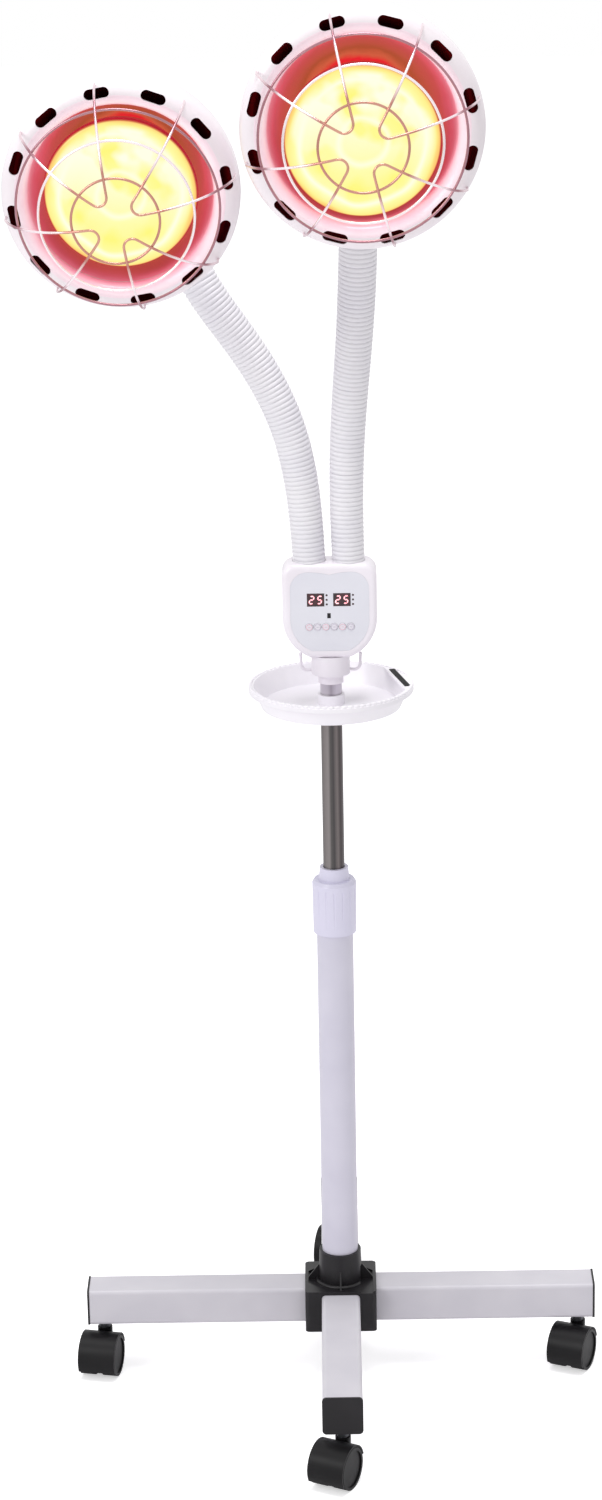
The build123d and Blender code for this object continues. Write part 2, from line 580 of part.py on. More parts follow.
with BuildPart() as collar:
    with BuildSketch(Plane.XZ):
        with BuildLine():
            Polyline(
                (0, COLLAR_BOTTOM),
                (COLLAR_RADIUS - COLLAR_DRAFT, COLLAR_BOTTOM),
                (COLLAR_RADIUS, COLLAR_TOP - COLLAR_BEVEL_HEIGHT),
                (COLLAR_RADIUS - COLLAR_BEVEL, COLLAR_TOP),
                (COLLAR_NECK_RADIUS, COLLAR_TOP),
                (COLLAR_NECK_RADIUS - COLLAR_NECK_TAPER, COLLAR_NECK_TOP),
                (0, COLLAR_NECK_TOP),
                close=True,
            )
        make_face()
    revolve(axis=Axis.Z)
    with BuildSketch(Plane.XY.offset(COLLAR_BOTTOM)):
        Circle(OUTER_TUBE_RADIUS + MOVING)
    extrude(amount=OUTER_TUBE_TOP + BUSH_FLANGE + MOVING - COLLAR_BOTTOM, mode=Mode.SUBTRACT)
    with BuildSketch(Plane.XY.offset(COLLAR_BOTTOM)):
        Circle(BUSH_RADIUS + MOVING)
    extrude(amount=BUSH_TOP + MOVING - COLLAR_BOTTOM, mode=Mode.SUBTRACT)
    with BuildSketch(Plane.XY.offset(COLLAR_BOTTOM)):
        Circle(STEEL_TUBE_RADIUS + MOVING)
    extrude(amount=COLLAR_NECK_TOP - COLLAR_BOTTOM, mode=Mode.SUBTRACT)
    # shallow grip flutes round the collar
    with BuildSketch(Plane.XY.offset(COLLAR_BOTTOM + FLUTE_FOOT)):
        with PolarLocations(COLLAR_RADIUS + FLUTE_OFFSET, FLUTE_COUNT):
            Circle(FLUTE_RADIUS)
    extrude(amount=COLLAR_HEIGHT - FLUTE_FOOT - FLUTE_HEAD, mode=Mode.SUBTRACT)
save(collar, "locking_collar")

STEEL_TUBE_TOP = BOX_BOTTOM + NECK_PLUG_HEIGHT - TUBE_CLEARANCE
with BuildPart() as steel_tube:
    with BuildSketch(Plane.XY.offset(STEEL_TUBE_BOTTOM)):
        Circle(STEEL_TUBE_RADIUS)
        Circle(STEEL_TUBE_RADIUS - STEEL_TUBE_WALL, mode=Mode.SUBTRACT)
    extrude(amount=STEEL_TUBE_TOP - STEEL_TUBE_BOTTOM)
save(steel_tube, "steel_tube")

# The guide on the steel tube's foot centres it in the outer tube.
with BuildPart() as guide:
    with BuildSketch(Plane.XY.offset(STEEL_TUBE_BOTTOM)):
        Circle(OUTER_TUBE_RADIUS - OUTER_TUBE_WALL - RUNNING)
        Circle(STEEL_TUBE_RADIUS, mode=Mode.SUBTRACT)
    extrude(amount=GUIDE_LENGTH)
    with BuildSketch(Plane.XY.offset(STEEL_TUBE_BOTTOM + GUIDE_LAND)):
        Circle(OUTER_TUBE_RADIUS)
        Circle(STEEL_TUBE_RADIUS + GUIDE_WALL, mode=Mode.SUBTRACT)
    extrude(amount=GUIDE_LENGTH - 2 * GUIDE_LAND, mode=Mode.SUBTRACT)
save(guide, "tube_guide")

# ================================================================ tray
STRIP_MIDDLE = LEDGE_DISTANCE + STRIP_SETBACK + STRIP_WIDTH / 2
LEDGE_PLANE = Plane(
    origin=(0, 0, TRAY_RIM_HEIGHT),
    x_dir=(cos(radians(LEDGE_TURN)), sin(radians(LEDGE_TURN)), 0),
    z_dir=(0, 0, 1),
)

with BuildPart() as tray:
    with BuildSketch(Plane.XZ):
        with BuildLine():
            Polyline(
                (0, TRAY_FLOOR),
                (TRAY_FLOOR_RADIUS, TRAY_FLOOR),
                (TRAY_MOUTH_RADIUS, TRAY_RIM_HEIGHT - TRAY_WALL),
                (TRAY_RIM_RADIUS - TRAY_WALL, TRAY_RIM_HEIGHT - TRAY_WALL),
                (TRAY_RIM_RADIUS - TRAY_WALL, TRAY_RIM_HEIGHT - TRAY_LIP),
                (TRAY_RIM_RADIUS, TRAY_RIM_HEIGHT - TRAY_LIP),
                (TRAY_RIM_RADIUS, TRAY_RIM_HEIGHT - TRAY_RIM_BEVEL),
                (TRAY_RIM_RADIUS - TRAY_RIM_BEVEL, TRAY_RIM_HEIGHT),
                (TRAY_MOUTH_RADIUS - TRAY_MOUTH_BEVEL, TRAY_RIM_HEIGHT),
                (TRAY_FLOOR_RADIUS - TRAY_WALL, TRAY_FLOOR + TRAY_WALL),
                (0, TRAY_FLOOR + TRAY_WALL),
                close=True,
            )
        make_face()
    revolve(axis=Axis.Z)
    # the boss round the mast
    with BuildSketch(Plane.XY.offset(TRAY_FLOOR)):
        Circle(TRAY_BOSS_RADIUS)
    extrude(amount=TRAY_BOSS_HEIGHT)
    # a segment of the mouth is bridged by a flat ledge
    with BuildSketch(LEDGE_PLANE):
        Circle(TRAY_RIM_RADIUS - TRAY_RIM_BEVEL)
        with Locations((LEDGE_DISTANCE - 2 * TRAY_RIM_RADIUS, 0)):
            Rectangle(4 * TRAY_RIM_RADIUS, 4 * TRAY_RIM_RADIUS, mode=Mode.SUBTRACT)
    extrude(amount=-LEDGE_DEPTH)
    with BuildSketch(LEDGE_PLANE):
        with Locations((STRIP_MIDDLE, 0)):
            Rectangle(STRIP_WIDTH + 2 * SEAT, STRIP_LENGTH + 2 * SEAT)
    extrude(amount=-STRIP_THICKNESS / 2, mode=Mode.SUBTRACT)
    with BuildSketch(Plane.XY.offset(TRAY_FLOOR)):
        Circle(STEEL_TUBE_RADIUS + RUNNING)
    extrude(amount=TRAY_DEPTH, mode=Mode.SUBTRACT)
save(tray, "tray")

with BuildPart() as tray_strip:
    with BuildSketch(LEDGE_PLANE.offset(-STRIP_THICKNESS / 2)):
        with Locations((STRIP_MIDDLE, 0)):
            Rectangle(STRIP_WIDTH, STRIP_LENGTH)
    extrude(amount=STRIP_THICKNESS)
save(tray_strip, "tray_strip")

# ================================================================ control box
NECK_TOP = BOX_BOTTOM + NECK_PLUG_HEIGHT

with BuildPart() as neck:
    with BuildSketch(Plane.XZ):
        with BuildLine():
            Polyline(
                (0, NECK_FOOT_BOTTOM),
                (NECK_FOOT_RADIUS, NECK_FOOT_BOTTOM),
                (NECK_FOOT_RADIUS, NECK_BOTTOM),
                (NECK_RADIUS, NECK_BOTTOM),
                (NECK_RADIUS, BOX_BOTTOM - SEAT),
                (NECK_PLUG_RADIUS, BOX_BOTTOM - SEAT),
                (NECK_PLUG_RADIUS, NECK_TOP),
                (0, NECK_TOP),
                close=True,
            )
        make_face()
    revolve(axis=Axis.Z)
    # a J hook on each side, for hanging the goggles' strap
    for side in (-1, 1):
        with BuildLine():
            hook_path = FilletPolyline(
                (side * (NECK_RADIUS - HOOK_ROOT), 0, HOOK_LOW + HOOK_FALL),
                (side * HOOK_REACH, 0, HOOK_LOW),
                (side * (HOOK_REACH + HOOK_SPREAD), 0, HOOK_TIP),
                radius=HOOK_BEND,
            )
        with BuildSketch(Plane(origin=hook_path @ 0, z_dir=hook_path % 0)):
            Circle(HOOK_WIRE)
        sweep(path=hook_path)
        with Locations(hook_path @ 1):
            Sphere(HOOK_TIP_RADIUS)
    with BuildSketch(Plane.XY.offset(NECK_FOOT_BOTTOM)):
        Circle(STEEL_TUBE_RADIUS + SEAT)
    extrude(amount=STEEL_TUBE_TOP - NECK_FOOT_BOTTOM + SEAT, mode=Mode.SUBTRACT)
save(neck, "neck_socket")


def facing_front(depth):
    """The upright plane at a given Y, seen from the front: local X is right, local Y is up."""
    return Plane.XZ.offset(-depth)


def box_outline(inset):
    """The box seen from the front, drawn in by an inset: it narrows in two arcs to the neck."""
    half = BOX_WIDTH / 2
    with BuildSketch(Plane.XY) as outline:
        with BuildLine():
            Line((BOX_BOTTOM_HALF, BOX_BOTTOM), (-BOX_BOTTOM_HALF, BOX_BOTTOM))
            TangentArc((-half, BOX_SIDE_BOTTOM), (-BOX_BOTTOM_HALF, BOX_BOTTOM), tangent=(0, -1))
            Line((-half, BOX_SIDE_BOTTOM), (-half, BOX_TOP - BOX_CORNER))
            RadiusArc((-half, BOX_TOP - BOX_CORNER), (-half + BOX_CORNER, BOX_TOP), BOX_CORNER)
            Line((-half + BOX_CORNER, BOX_TOP), (half - BOX_CORNER, BOX_TOP))
            RadiusArc((half - BOX_CORNER, BOX_TOP), (half, BOX_TOP - BOX_CORNER), BOX_CORNER)
            Line((half, BOX_TOP - BOX_CORNER), (half, BOX_SIDE_BOTTOM))
            TangentArc((half, BOX_SIDE_BOTTOM), (BOX_BOTTOM_HALF, BOX_BOTTOM), tangent=(0, -1))
        make_face()
        if inset > 0:
            offset(amount=-inset, mode=Mode.REPLACE)
    return outline.sketch


def front_half(inset):
    """The front half of the box's form, every face but the parting drawn in by an inset."""
    with BuildPart() as half:
        with BuildSketch(facing_front(BOX_FRONT + inset)):
            add(box_outline(inset))
        extrude(amount=BOX_FRONT + inset)
        fillet(half.faces().sort_by(Axis.Y)[0].edges(), BOX_EDGE - inset)
    return half.part


def panel_outline(grow):
    """The front panel: the box's outline drawn in, with round shoulders and a two-lobed top."""
    panel_top = BOX_TOP - PANEL_MARGIN
    with BuildSketch(Plane.XY) as lobes:
        with Locations(*[(side * LOBE_X, panel_top - LOBE_RADIUS) for side in (-1, 1)]):
            Circle(LOBE_RADIUS + grow)
    with BuildSketch(Plane.XY) as shoulders:
        with Locations((0, panel_top + grow)):
            RectangleRounded(
                BOX_WIDTH - 2 * (PANEL_MARGIN - grow),
                2 * BOX_HEIGHT,
                PANEL_SHOULDER + grow,
                align=(Align.CENTER, Align.MAX),
            )
    with BuildSketch(Plane.XY) as outline:
        add(box_outline(PANEL_MARGIN - grow))
        add(lobes.sketch, mode=Mode.INTERSECT)
        add(shoulders.sketch, mode=Mode.INTERSECT)
    return outline.sketch


LED_PLACES = [
    (x + LED_OFFSET, DISPLAY_Z + row * LED_PITCH) for x in DISPLAY_X for row in (-1, 0, 1)
]
BUTTON_X = [(number - (BUTTON_COUNT - 1) / 2) * BUTTON_PITCH for number in range(BUTTON_COUNT)]
BOSS_PLACES = [(side * BOSS_X, BOX_BOTTOM + rise) for side in (-1, 1) for rise in BOSS_RISE]
SENSOR_X = (DISPLAY_X[0] + DISPLAY_X[1]) / 2


def display_faces(grow):
    """The faces of the displays and their lights."""
    with BuildSketch(Plane.XY) as faces:
        with Locations(*[(x, DISPLAY_Z) for x in DISPLAY_X]):
            Rectangle(DISPLAY_WIDTH + 2 * grow, DISPLAY_HEIGHT + 2 * grow)
        with Locations(*LED_PLACES):
            Circle(LED_RADIUS + grow)
    return faces.sketch


def front_openings():
    """All the cut-outs that the front wall and the panel share."""
    with BuildSketch(Plane.XY) as openings:
        add(display_faces(SEAT))
        with Locations((SENSOR_X, WINDOW_Z)):
            Rectangle(WINDOW_WIDTH + 2 * SEAT, WINDOW_HEIGHT + 2 * SEAT)
        with Locations(*[(x, BUTTON_Z) for x in BUTTON_X]):
            Circle(BUTTON_RADIUS + MOVING)
    return openings.sketch


def over_box(place):
    """A place given from the middle of the box's top."""
    return Vector(*place) + Vector(0, 0, BOX_TOP)


def seat_plane(side):
    """Across the foot of a hose, inside the box, its normal along the hose's first link."""
    foot = Vector(ARM_SIDES[side] * ARM_SPACING / 2, 0, BOX_TOP - HOSE_SEAT)
    return Plane(origin=foot, z_dir=over_box(ARM_JOINTS[side][0]) - foot)


ARM_SIDES = {"right": 1, "left": -1}
BOX_FORM = front_half(0)
BOX_CAVITY = front_half(BOX_WALL)

with BuildPart() as front_shell:
    add(BOX_FORM)
    add(BOX_CAVITY, mode=Mode.SUBTRACT)
    # screw bosses reach the parting, standoffs carry the board
    with BuildSketch(facing_front(BOX_FRONT + BOX_WALL)):
        with Locations(*BOSS_PLACES):
            Circle(BOSS_RADIUS)
    extrude(amount=BOX_FRONT + BOX_WALL)
    with BuildSketch(facing_front(BOX_FRONT + BOX_WALL)):
        for height in (BOARD_BOTTOM + STANDOFF_INSET, BOARD_TOP - STANDOFF_INSET):
            with Locations(*[(side * (BOARD_WIDTH / 2 - STANDOFF_INSET), height) for side in (-1, 1)]):
                Circle(STANDOFF_RADIUS)
    extrude(amount=BOX_WALL - BOARD_SETBACK)
    with BuildSketch(facing_front(0)):
        with Locations(*BOSS_PLACES):
            Circle(SCREW_RADIUS + SEAT)
    extrude(amount=SCREW_BITE + SEAT, mode=Mode.SUBTRACT)
    # recess for the panel, and the openings behind it
    with BuildSketch(facing_front(BOX_FRONT)):
        add(panel_outline(SEAT))
    extrude(amount=-PANEL_THICKNESS, mode=Mode.SUBTRACT)
    with BuildSketch(facing_front(BOX_FRONT)):
        add(front_openings())
    extrude(amount=-BOX_WALL, mode=Mode.SUBTRACT)
    # half of each round hole for the hoses and the neck
    for side in ARM_SIDES:
        with BuildSketch(seat_plane(side)):
            Circle(HOSE_RADIUS_LOW + MOVING)
        extrude(amount=2 * HOSE_SEAT, mode=Mode.SUBTRACT)
    with BuildSketch(Plane.XY.offset(BOX_BOTTOM)):
        Circle(NECK_PLUG_RADIUS + SEAT)
    extrude(amount=NECK_PLUG_HEIGHT, mode=Mode.SUBTRACT)
save(front_shell, "box_front_shell")

with BuildPart() as rear_shell:
    add(mirror(BOX_FORM, about=Plane.XZ, mode=Mode.PRIVATE))
    add(mirror(BOX_CAVITY, about=Plane.XZ, mode=Mode.PRIVATE), mode=Mode.SUBTRACT)
    with BuildSketch(facing_front(BOX_BACK - BOX_WALL)):
        with Locations(*BOSS_PLACES):
            Circle(BOSS_RADIUS)
    extrude(amount=BOX_BACK - BOX_WALL)
    with BuildSketch(facing_front(BOX_BACK)):
        with Locations(*BOSS_PLACES):
            Circle(SCREW_RADIUS + SEAT)
    extrude(amount=BOX_BACK, mode=Mode.SUBTRACT)
    with BuildSketch(facing_front(BOX_BACK)):
        with Locations(*BOSS_PLACES):
            Circle(SCREW_HEAD_RADIUS + SEAT)
    extrude(amount=SCREW_HEAD_HEIGHT + SEAT, mode=Mode.SUBTRACT)
    with BuildSketch(facing_front(BOX_BACK)):
        with Locations((0, BOX_BOTTOM + GLAND_RISE)):
            Circle(GLAND_THREAD_RADIUS + SEAT)
    extrude(amount=BOX_WALL, mode=Mode.SUBTRACT)
    for side in ARM_SIDES:
        with BuildSketch(seat_plane(side)):
            Circle(HOSE_RADIUS_LOW + MOVING)
        extrude(amount=2 * HOSE_SEAT, mode=Mode.SUBTRACT)
    with BuildSketch(Plane.XY.offset(BOX_BOTTOM)):
        Circle(NECK_PLUG_RADIUS + SEAT)
    extrude(amount=NECK_PLUG_HEIGHT, mode=Mode.SUBTRACT)
save(rear_shell, "box_rear_shell")

with BuildPart() as box_screws:
    with BuildSketch(facing_front(BOX_BACK)):
        with Locations(*BOSS_PLACES):
            Circle(SCREW_HEAD_RADIUS)
    extrude(amount=SCREW_HEAD_HEIGHT)
    with BuildSketch(facing_front(BOX_BACK)):
        with Locations(*BOSS_PLACES):
            Circle(SCREW_RADIUS)
    extrude(amount=BOX_BACK + SCREW_BITE)
save(box_screws, "box_screws")

with BuildPart() as front_panel:
    with BuildSketch(facing_front(BOX_FRONT)):
        add(panel_outline(0))
        add(front_openings(), mode=Mode.SUBTRACT)
    extrude(amount=-PANEL_THICKNESS)
save(front_panel, "front_panel")

with BuildPart() as displays:
    with BuildSketch(facing_front(BOX_FRONT + FLUSH_STEP)):
        add(display_faces(0))
    extrude(amount=FLUSH_STEP - BOARD_SETBACK)
save(displays, "display_modules")

with BuildPart() as sensor_window:
    with BuildSketch(facing_front(BOX_FRONT + FLUSH_STEP)):
        with Locations((SENSOR_X, WINDOW_Z)):
            Rectangle(WINDOW_WIDTH, WINDOW_HEIGHT)
    extrude(amount=FLUSH_STEP - BOARD_SETBACK)
save(sensor_window, "sensor_window")

with BuildPart() as board:
    with BuildSketch(facing_front(BOX_FRONT + BOARD_SETBACK)):
        with Locations((0, (BOARD_TOP + BOARD_BOTTOM) / 2)):
            Rectangle(BOARD_WIDTH, BOARD_TOP - BOARD_BOTTOM)
    extrude(amount=-BOARD_THICKNESS)
save(board, "circuit_board")

TAB_FACE = BOX_FRONT + BOX_WALL + SEAT
for number, x in enumerate(BUTTON_X, 1):
    with BuildPart() as button:
        with BuildSketch(facing_front(BOX_FRONT - BUTTON_PROUD)):
            with Locations((x, BUTTON_Z)):
                Circle(BUTTON_RADIUS)
        extrude(amount=BOX_FRONT - BUTTON_PROUD - TAB_FACE)
        with BuildSketch(facing_front(TAB_FACE)):
            with Locations((x, BUTTON_Z)):
                Rectangle(BUTTON_TAB_WIDTH, BUTTON_TAB_HEIGHT)
        extrude(amount=-BUTTON_TAB_THICKNESS)
        with BuildSketch(facing_front(TAB_FACE)):
            with Locations((x, BUTTON_Z)):
                Circle(BUTTON_STEM_RADIUS)
        extrude(amount=TAB_FACE - BOX_FRONT - BOARD_SETBACK + BUTTON_TRAVEL + MOVING)
        front_edge = button.faces().sort_by(Axis.Y)[0].edges()
        fillet(front_edge, BUTTON_PROUD / 2)
    save(button, f"button_{number}")

gland_plane = Plane(
    origin=(0, BOX_BACK, BOX_BOTTOM + GLAND_RISE), x_dir=(1, 0, 0), z_dir=(0, 1, 0)
)
with BuildPart() as gland:
    with BuildSketch(lathe_plane(gland_plane)):
        with BuildLine():
            Polyline(
                (GLAND_BORE, -BOX_WALL - GLAND_NUT_HEIGHT),
                (GLAND_NUT_RADIUS, -BOX_WALL - GLAND_NUT_HEIGHT),
                (GLAND_NUT_RADIUS, -BOX_WALL),
                (GLAND_THREAD_RADIUS, -BOX_WALL),
                (GLAND_THREAD_RADIUS, 0),
                (GLAND_NUT_RADIUS, 0),
                (GLAND_NUT_RADIUS, GLAND_NUT_HEIGHT),
                (GLAND_RADIUS, GLAND_NUT_HEIGHT + GLAND_BEVEL),
                (GLAND_RADIUS - GLAND_TAPER, GLAND_LENGTH),
                (GLAND_BORE, GLAND_LENGTH),
                close=True,
            )
        make_face()
    revolve(axis=spin_axis(gland_plane))
save(gland, "cable_gland")


# ================================================================ heads' frames
def head_plane(name):
    """A head's own frame: origin at the flange's crown, X right, Y up, Z out of its mouth."""
    head = HEADS[name]
    nod = radians(head["nod"])
    turn = radians(head["turn"])
    roll = radians(head["roll"])
    facing = Vector(sin(turn) * cos(nod), -cos(turn) * cos(nod), -sin(nod))
    level = Vector(cos(turn), sin(turn), 0)
    upright = facing.cross(level)
    crown = over_box(head["rear"]) + facing * CAP_DEPTH
    return Plane(origin=crown, x_dir=level * cos(roll) + upright * sin(roll), z_dir=facing)


def bulb_plane(name):
    """A bulb's own frame: the head's frame, drooped about the lamp holder's fixing."""
    head = head_plane(name)
    droop = radians(HEADS[name]["droop"])
    facing = head.z_dir * cos(droop) - head.y_dir * sin(droop)
    pivot = head.origin - head.z_dir * (CAP_DEPTH - PIVOT_INSET)
    return Plane(origin=pivot + facing * BULB_PIVOT, x_dir=head.x_dir, z_dir=facing)


# ================================================================ hoses
def hose_radius(distance):
    """The hose widens over its first stretch from the box."""
    return HOSE_RADIUS_LOW + (HOSE_RADIUS_HIGH - HOSE_RADIUS_LOW) * min(1, distance / HOSE_FULL_SIZE_AT)


def joint_ball(radius):
    """The ball between two links of the hose."""
    return radius * BALL_SHARE


for side in ARM_SIDES:
    bends = [seat_plane(side).origin] + [over_box(bend) for bend in ARM_JOINTS[side]]
    distance = 0.0
    for number in range(1, len(bends)):
        lower = bends[number - 1]
        upper = bends[number]
        length = (upper - lower).length
        low_radius = hose_radius(distance)
        high_radius = hose_radius(distance + length)
        start = 0.0 if number == 1 else JOINT_GAP
        start_share = 1.0 if number == 1 else SHOULDER_SHARE
        link_plane = Plane(origin=lower, z_dir=upper - lower)
        with BuildPart() as link:
            with BuildSketch(lathe_plane(link_plane)):
                with BuildLine():
                    Polyline(
                        (0, start),
                        (low_radius * start_share, start),
                        (low_radius, start + SHOULDER_LENGTH),
                        (high_radius, length - JOINT_GAP - SHOULDER_LENGTH),
                        (high_radius * SHOULDER_SHARE, length - JOINT_GAP),
                        (0, length - JOINT_GAP),
                        close=True,
                    )
                make_face()
            revolve(axis=spin_axis(link_plane))
            with Locations(upper):
                Sphere(joint_ball(high_radius))
            if number > 1:
                with Locations(lower):
                    Sphere(joint_ball(low_radius) + MOVING, mode=Mode.SUBTRACT)
        save(link, f"hose_{side}_{number}")
        distance += length

    # the last link bends over and enters the head from behind
    head = head_plane(side)
    entry = head.origin - head.z_dir * (CAP_DEPTH - HOSE_SEAT)
    corner = head.origin - head.z_dir * (CAP_DEPTH + HEADS[side]["elbow"])
    rise = (corner - bends[-1]).normalized()
    last_plane = Plane(origin=bends[-1], z_dir=rise)
    with BuildPart() as last_link:
        with BuildLine() as elbow:
            FilletPolyline(
                bends[-1] + rise * (JOINT_GAP + SHOULDER_LENGTH),
                corner,
                entry,
                radius=ELBOW_RADIUS,
            )
        with BuildSketch(Plane(origin=elbow.line @ 0, z_dir=elbow.line % 0)):
            Circle(HOSE_RADIUS_HIGH)
        sweep(path=elbow.line)
        with BuildSketch(lathe_plane(last_plane)):
            with BuildLine():
                Polyline(
                    (0, JOINT_GAP),
                    (HOSE_RADIUS_HIGH * SHOULDER_SHARE, JOINT_GAP),
                    (HOSE_RADIUS_HIGH, JOINT_GAP + SHOULDER_LENGTH),
                    (0, JOINT_GAP + SHOULDER_LENGTH),
                    close=True,
                )
            make_face()
        revolve(axis=spin_axis(last_plane))
        with Locations(bends[-1]):
            Sphere(joint_ball(hose_radius(distance)) + MOVING, mode=Mode.SUBTRACT)
    save(last_link, f"hose_{side}_{len(bends)}")


# ================================================================ heads
def guard_height(radius):
    """Height of the guard's dome over the crown, at a distance from the head's axis."""
    across = radius - GUARD_SECTION_OFFSET
    return sqrt(GUARD_SECTION_RADIUS**2 - across**2) - GUARD_SECTION_DEPTH


def on_guard(place):
    """The point of the guard's dome over a place on the head's face."""
    return Vector(*place, guard_height(sqrt(place[0] ** 2 + place[1] ** 2)))


def wire_arc(start, end):
    """A wire's arc along the dome between two places on the head's face."""
    middle = ((start[0] + end[0]) / 2, (start[1] + end[1]) / 2)
    return ThreePointArc(on_guard(start), on_guard(middle), on_guard(end))


def guard_wire_ends(pair_angle, side):
    """Foot and inner end of one wire of a pair, seen from the front of the head.

    The wire runs from its foot on the rim straight to where it touches the inner bend.
    """
    foot_along = GUARD_FOOT_RADIUS * cos(radians(GUARD_SPREAD))
    foot_across = GUARD_FOOT_RADIUS * sin(radians(GUARD_SPREAD))
    to_centre = sqrt((foot_along - GUARD_APEX - GUARD_BEND) ** 2 + foot_across**2)
    slope = atan2(foot_across, foot_along - GUARD_APEX - GUARD_BEND) - asin(GUARD_BEND / to_centre)
    inner_along = GUARD_APEX + GUARD_BEND - GUARD_BEND * sin(slope)
    inner_across = GUARD_BEND * cos(slope)
    turn = radians(pair_angle)
    return [
        (along * cos(turn) - side * across * sin(turn), along * sin(turn) + side * across * cos(turn))
        for along, across in ((foot_along, foot_across), (inner_along, inner_across))
    ]


CAP_BORE = NECK_OPENING + HEAD_WALL + SEAT
CAP_RADIUS = CAP_BORE + HEAD_WALL
CAP_FRONT_DEPTH = HOOD_DEPTH + HEAD_WALL
CAP_FLOOR_DEPTH = CAP_DEPTH - CAP_END_WALL
SHELL_REAR_DEPTH = CAP_FRONT_DEPTH - SEAT
SPIGOT_DEPTH = HOOD_DEPTH + SPIGOT_LENGTH
HOLDER_FRONT_DEPTH = BULB_NECK_DEPTH + BASE_TAPER + SEAT
RIM_ROLL = HEAD_RADIUS - FLANGE_CROWN
shoulder = radians(BULB_SHOULDER_ANGLE)
PAIR_ANGLES = [GUARD_TURN + 360 / GUARD_PAIRS * number for number in range(GUARD_PAIRS)]

# The guard, in the head's own frame: three rings welded on inside four bent wires.
with BuildPart() as guard_form:
    for radius in GUARD_RINGS:
        ring_share = (GUARD_SECTION_RADIUS - GUARD_WELD) / GUARD_SECTION_RADIUS
        ring_radius = GUARD_SECTION_OFFSET + (radius - GUARD_SECTION_OFFSET) * ring_share
        ring_height = (guard_height(radius) + GUARD_SECTION_DEPTH) * ring_share - GUARD_SECTION_DEPTH
        with BuildSketch(Plane.XZ):
            with Locations((ring_radius, ring_height)):
                RegularPolygon(GUARD_WIRE, GUARD_WIRE_SIDES)
        revolve(axis=Axis.Z)
    for angle in PAIR_ANGLES:
        first_foot, first_inner = guard_wire_ends(angle, -1)
        second_foot, second_inner = guard_wire_ends(angle, 1)
        with BuildLine() as wire:
            first_arc = wire_arc(first_foot, first_inner)
            second_arc = wire_arc(second_inner, second_foot)
            TangentArc(first_arc @ 1, second_arc @ 0, tangent=first_arc % 1)
        with BuildSketch(Plane(origin=first_arc @ 0, z_dir=first_arc % 0)):
            RegularPolygon(GUARD_WIRE, GUARD_WIRE_SIDES)
        sweep(path=wire.line)
        # each end is turned down into its hole in the flange
        with BuildSketch(Plane.XY.offset(-GUARD_FOOT_DEPTH)):
            with Locations(first_foot, second_foot):
                RegularPolygon(GUARD_FOOT_WIRE, GUARD_WIRE_SIDES)
        extrude(amount=GUARD_FOOT_DEPTH + guard_height(GUARD_FOOT_RADIUS) + GUARD_LAP)

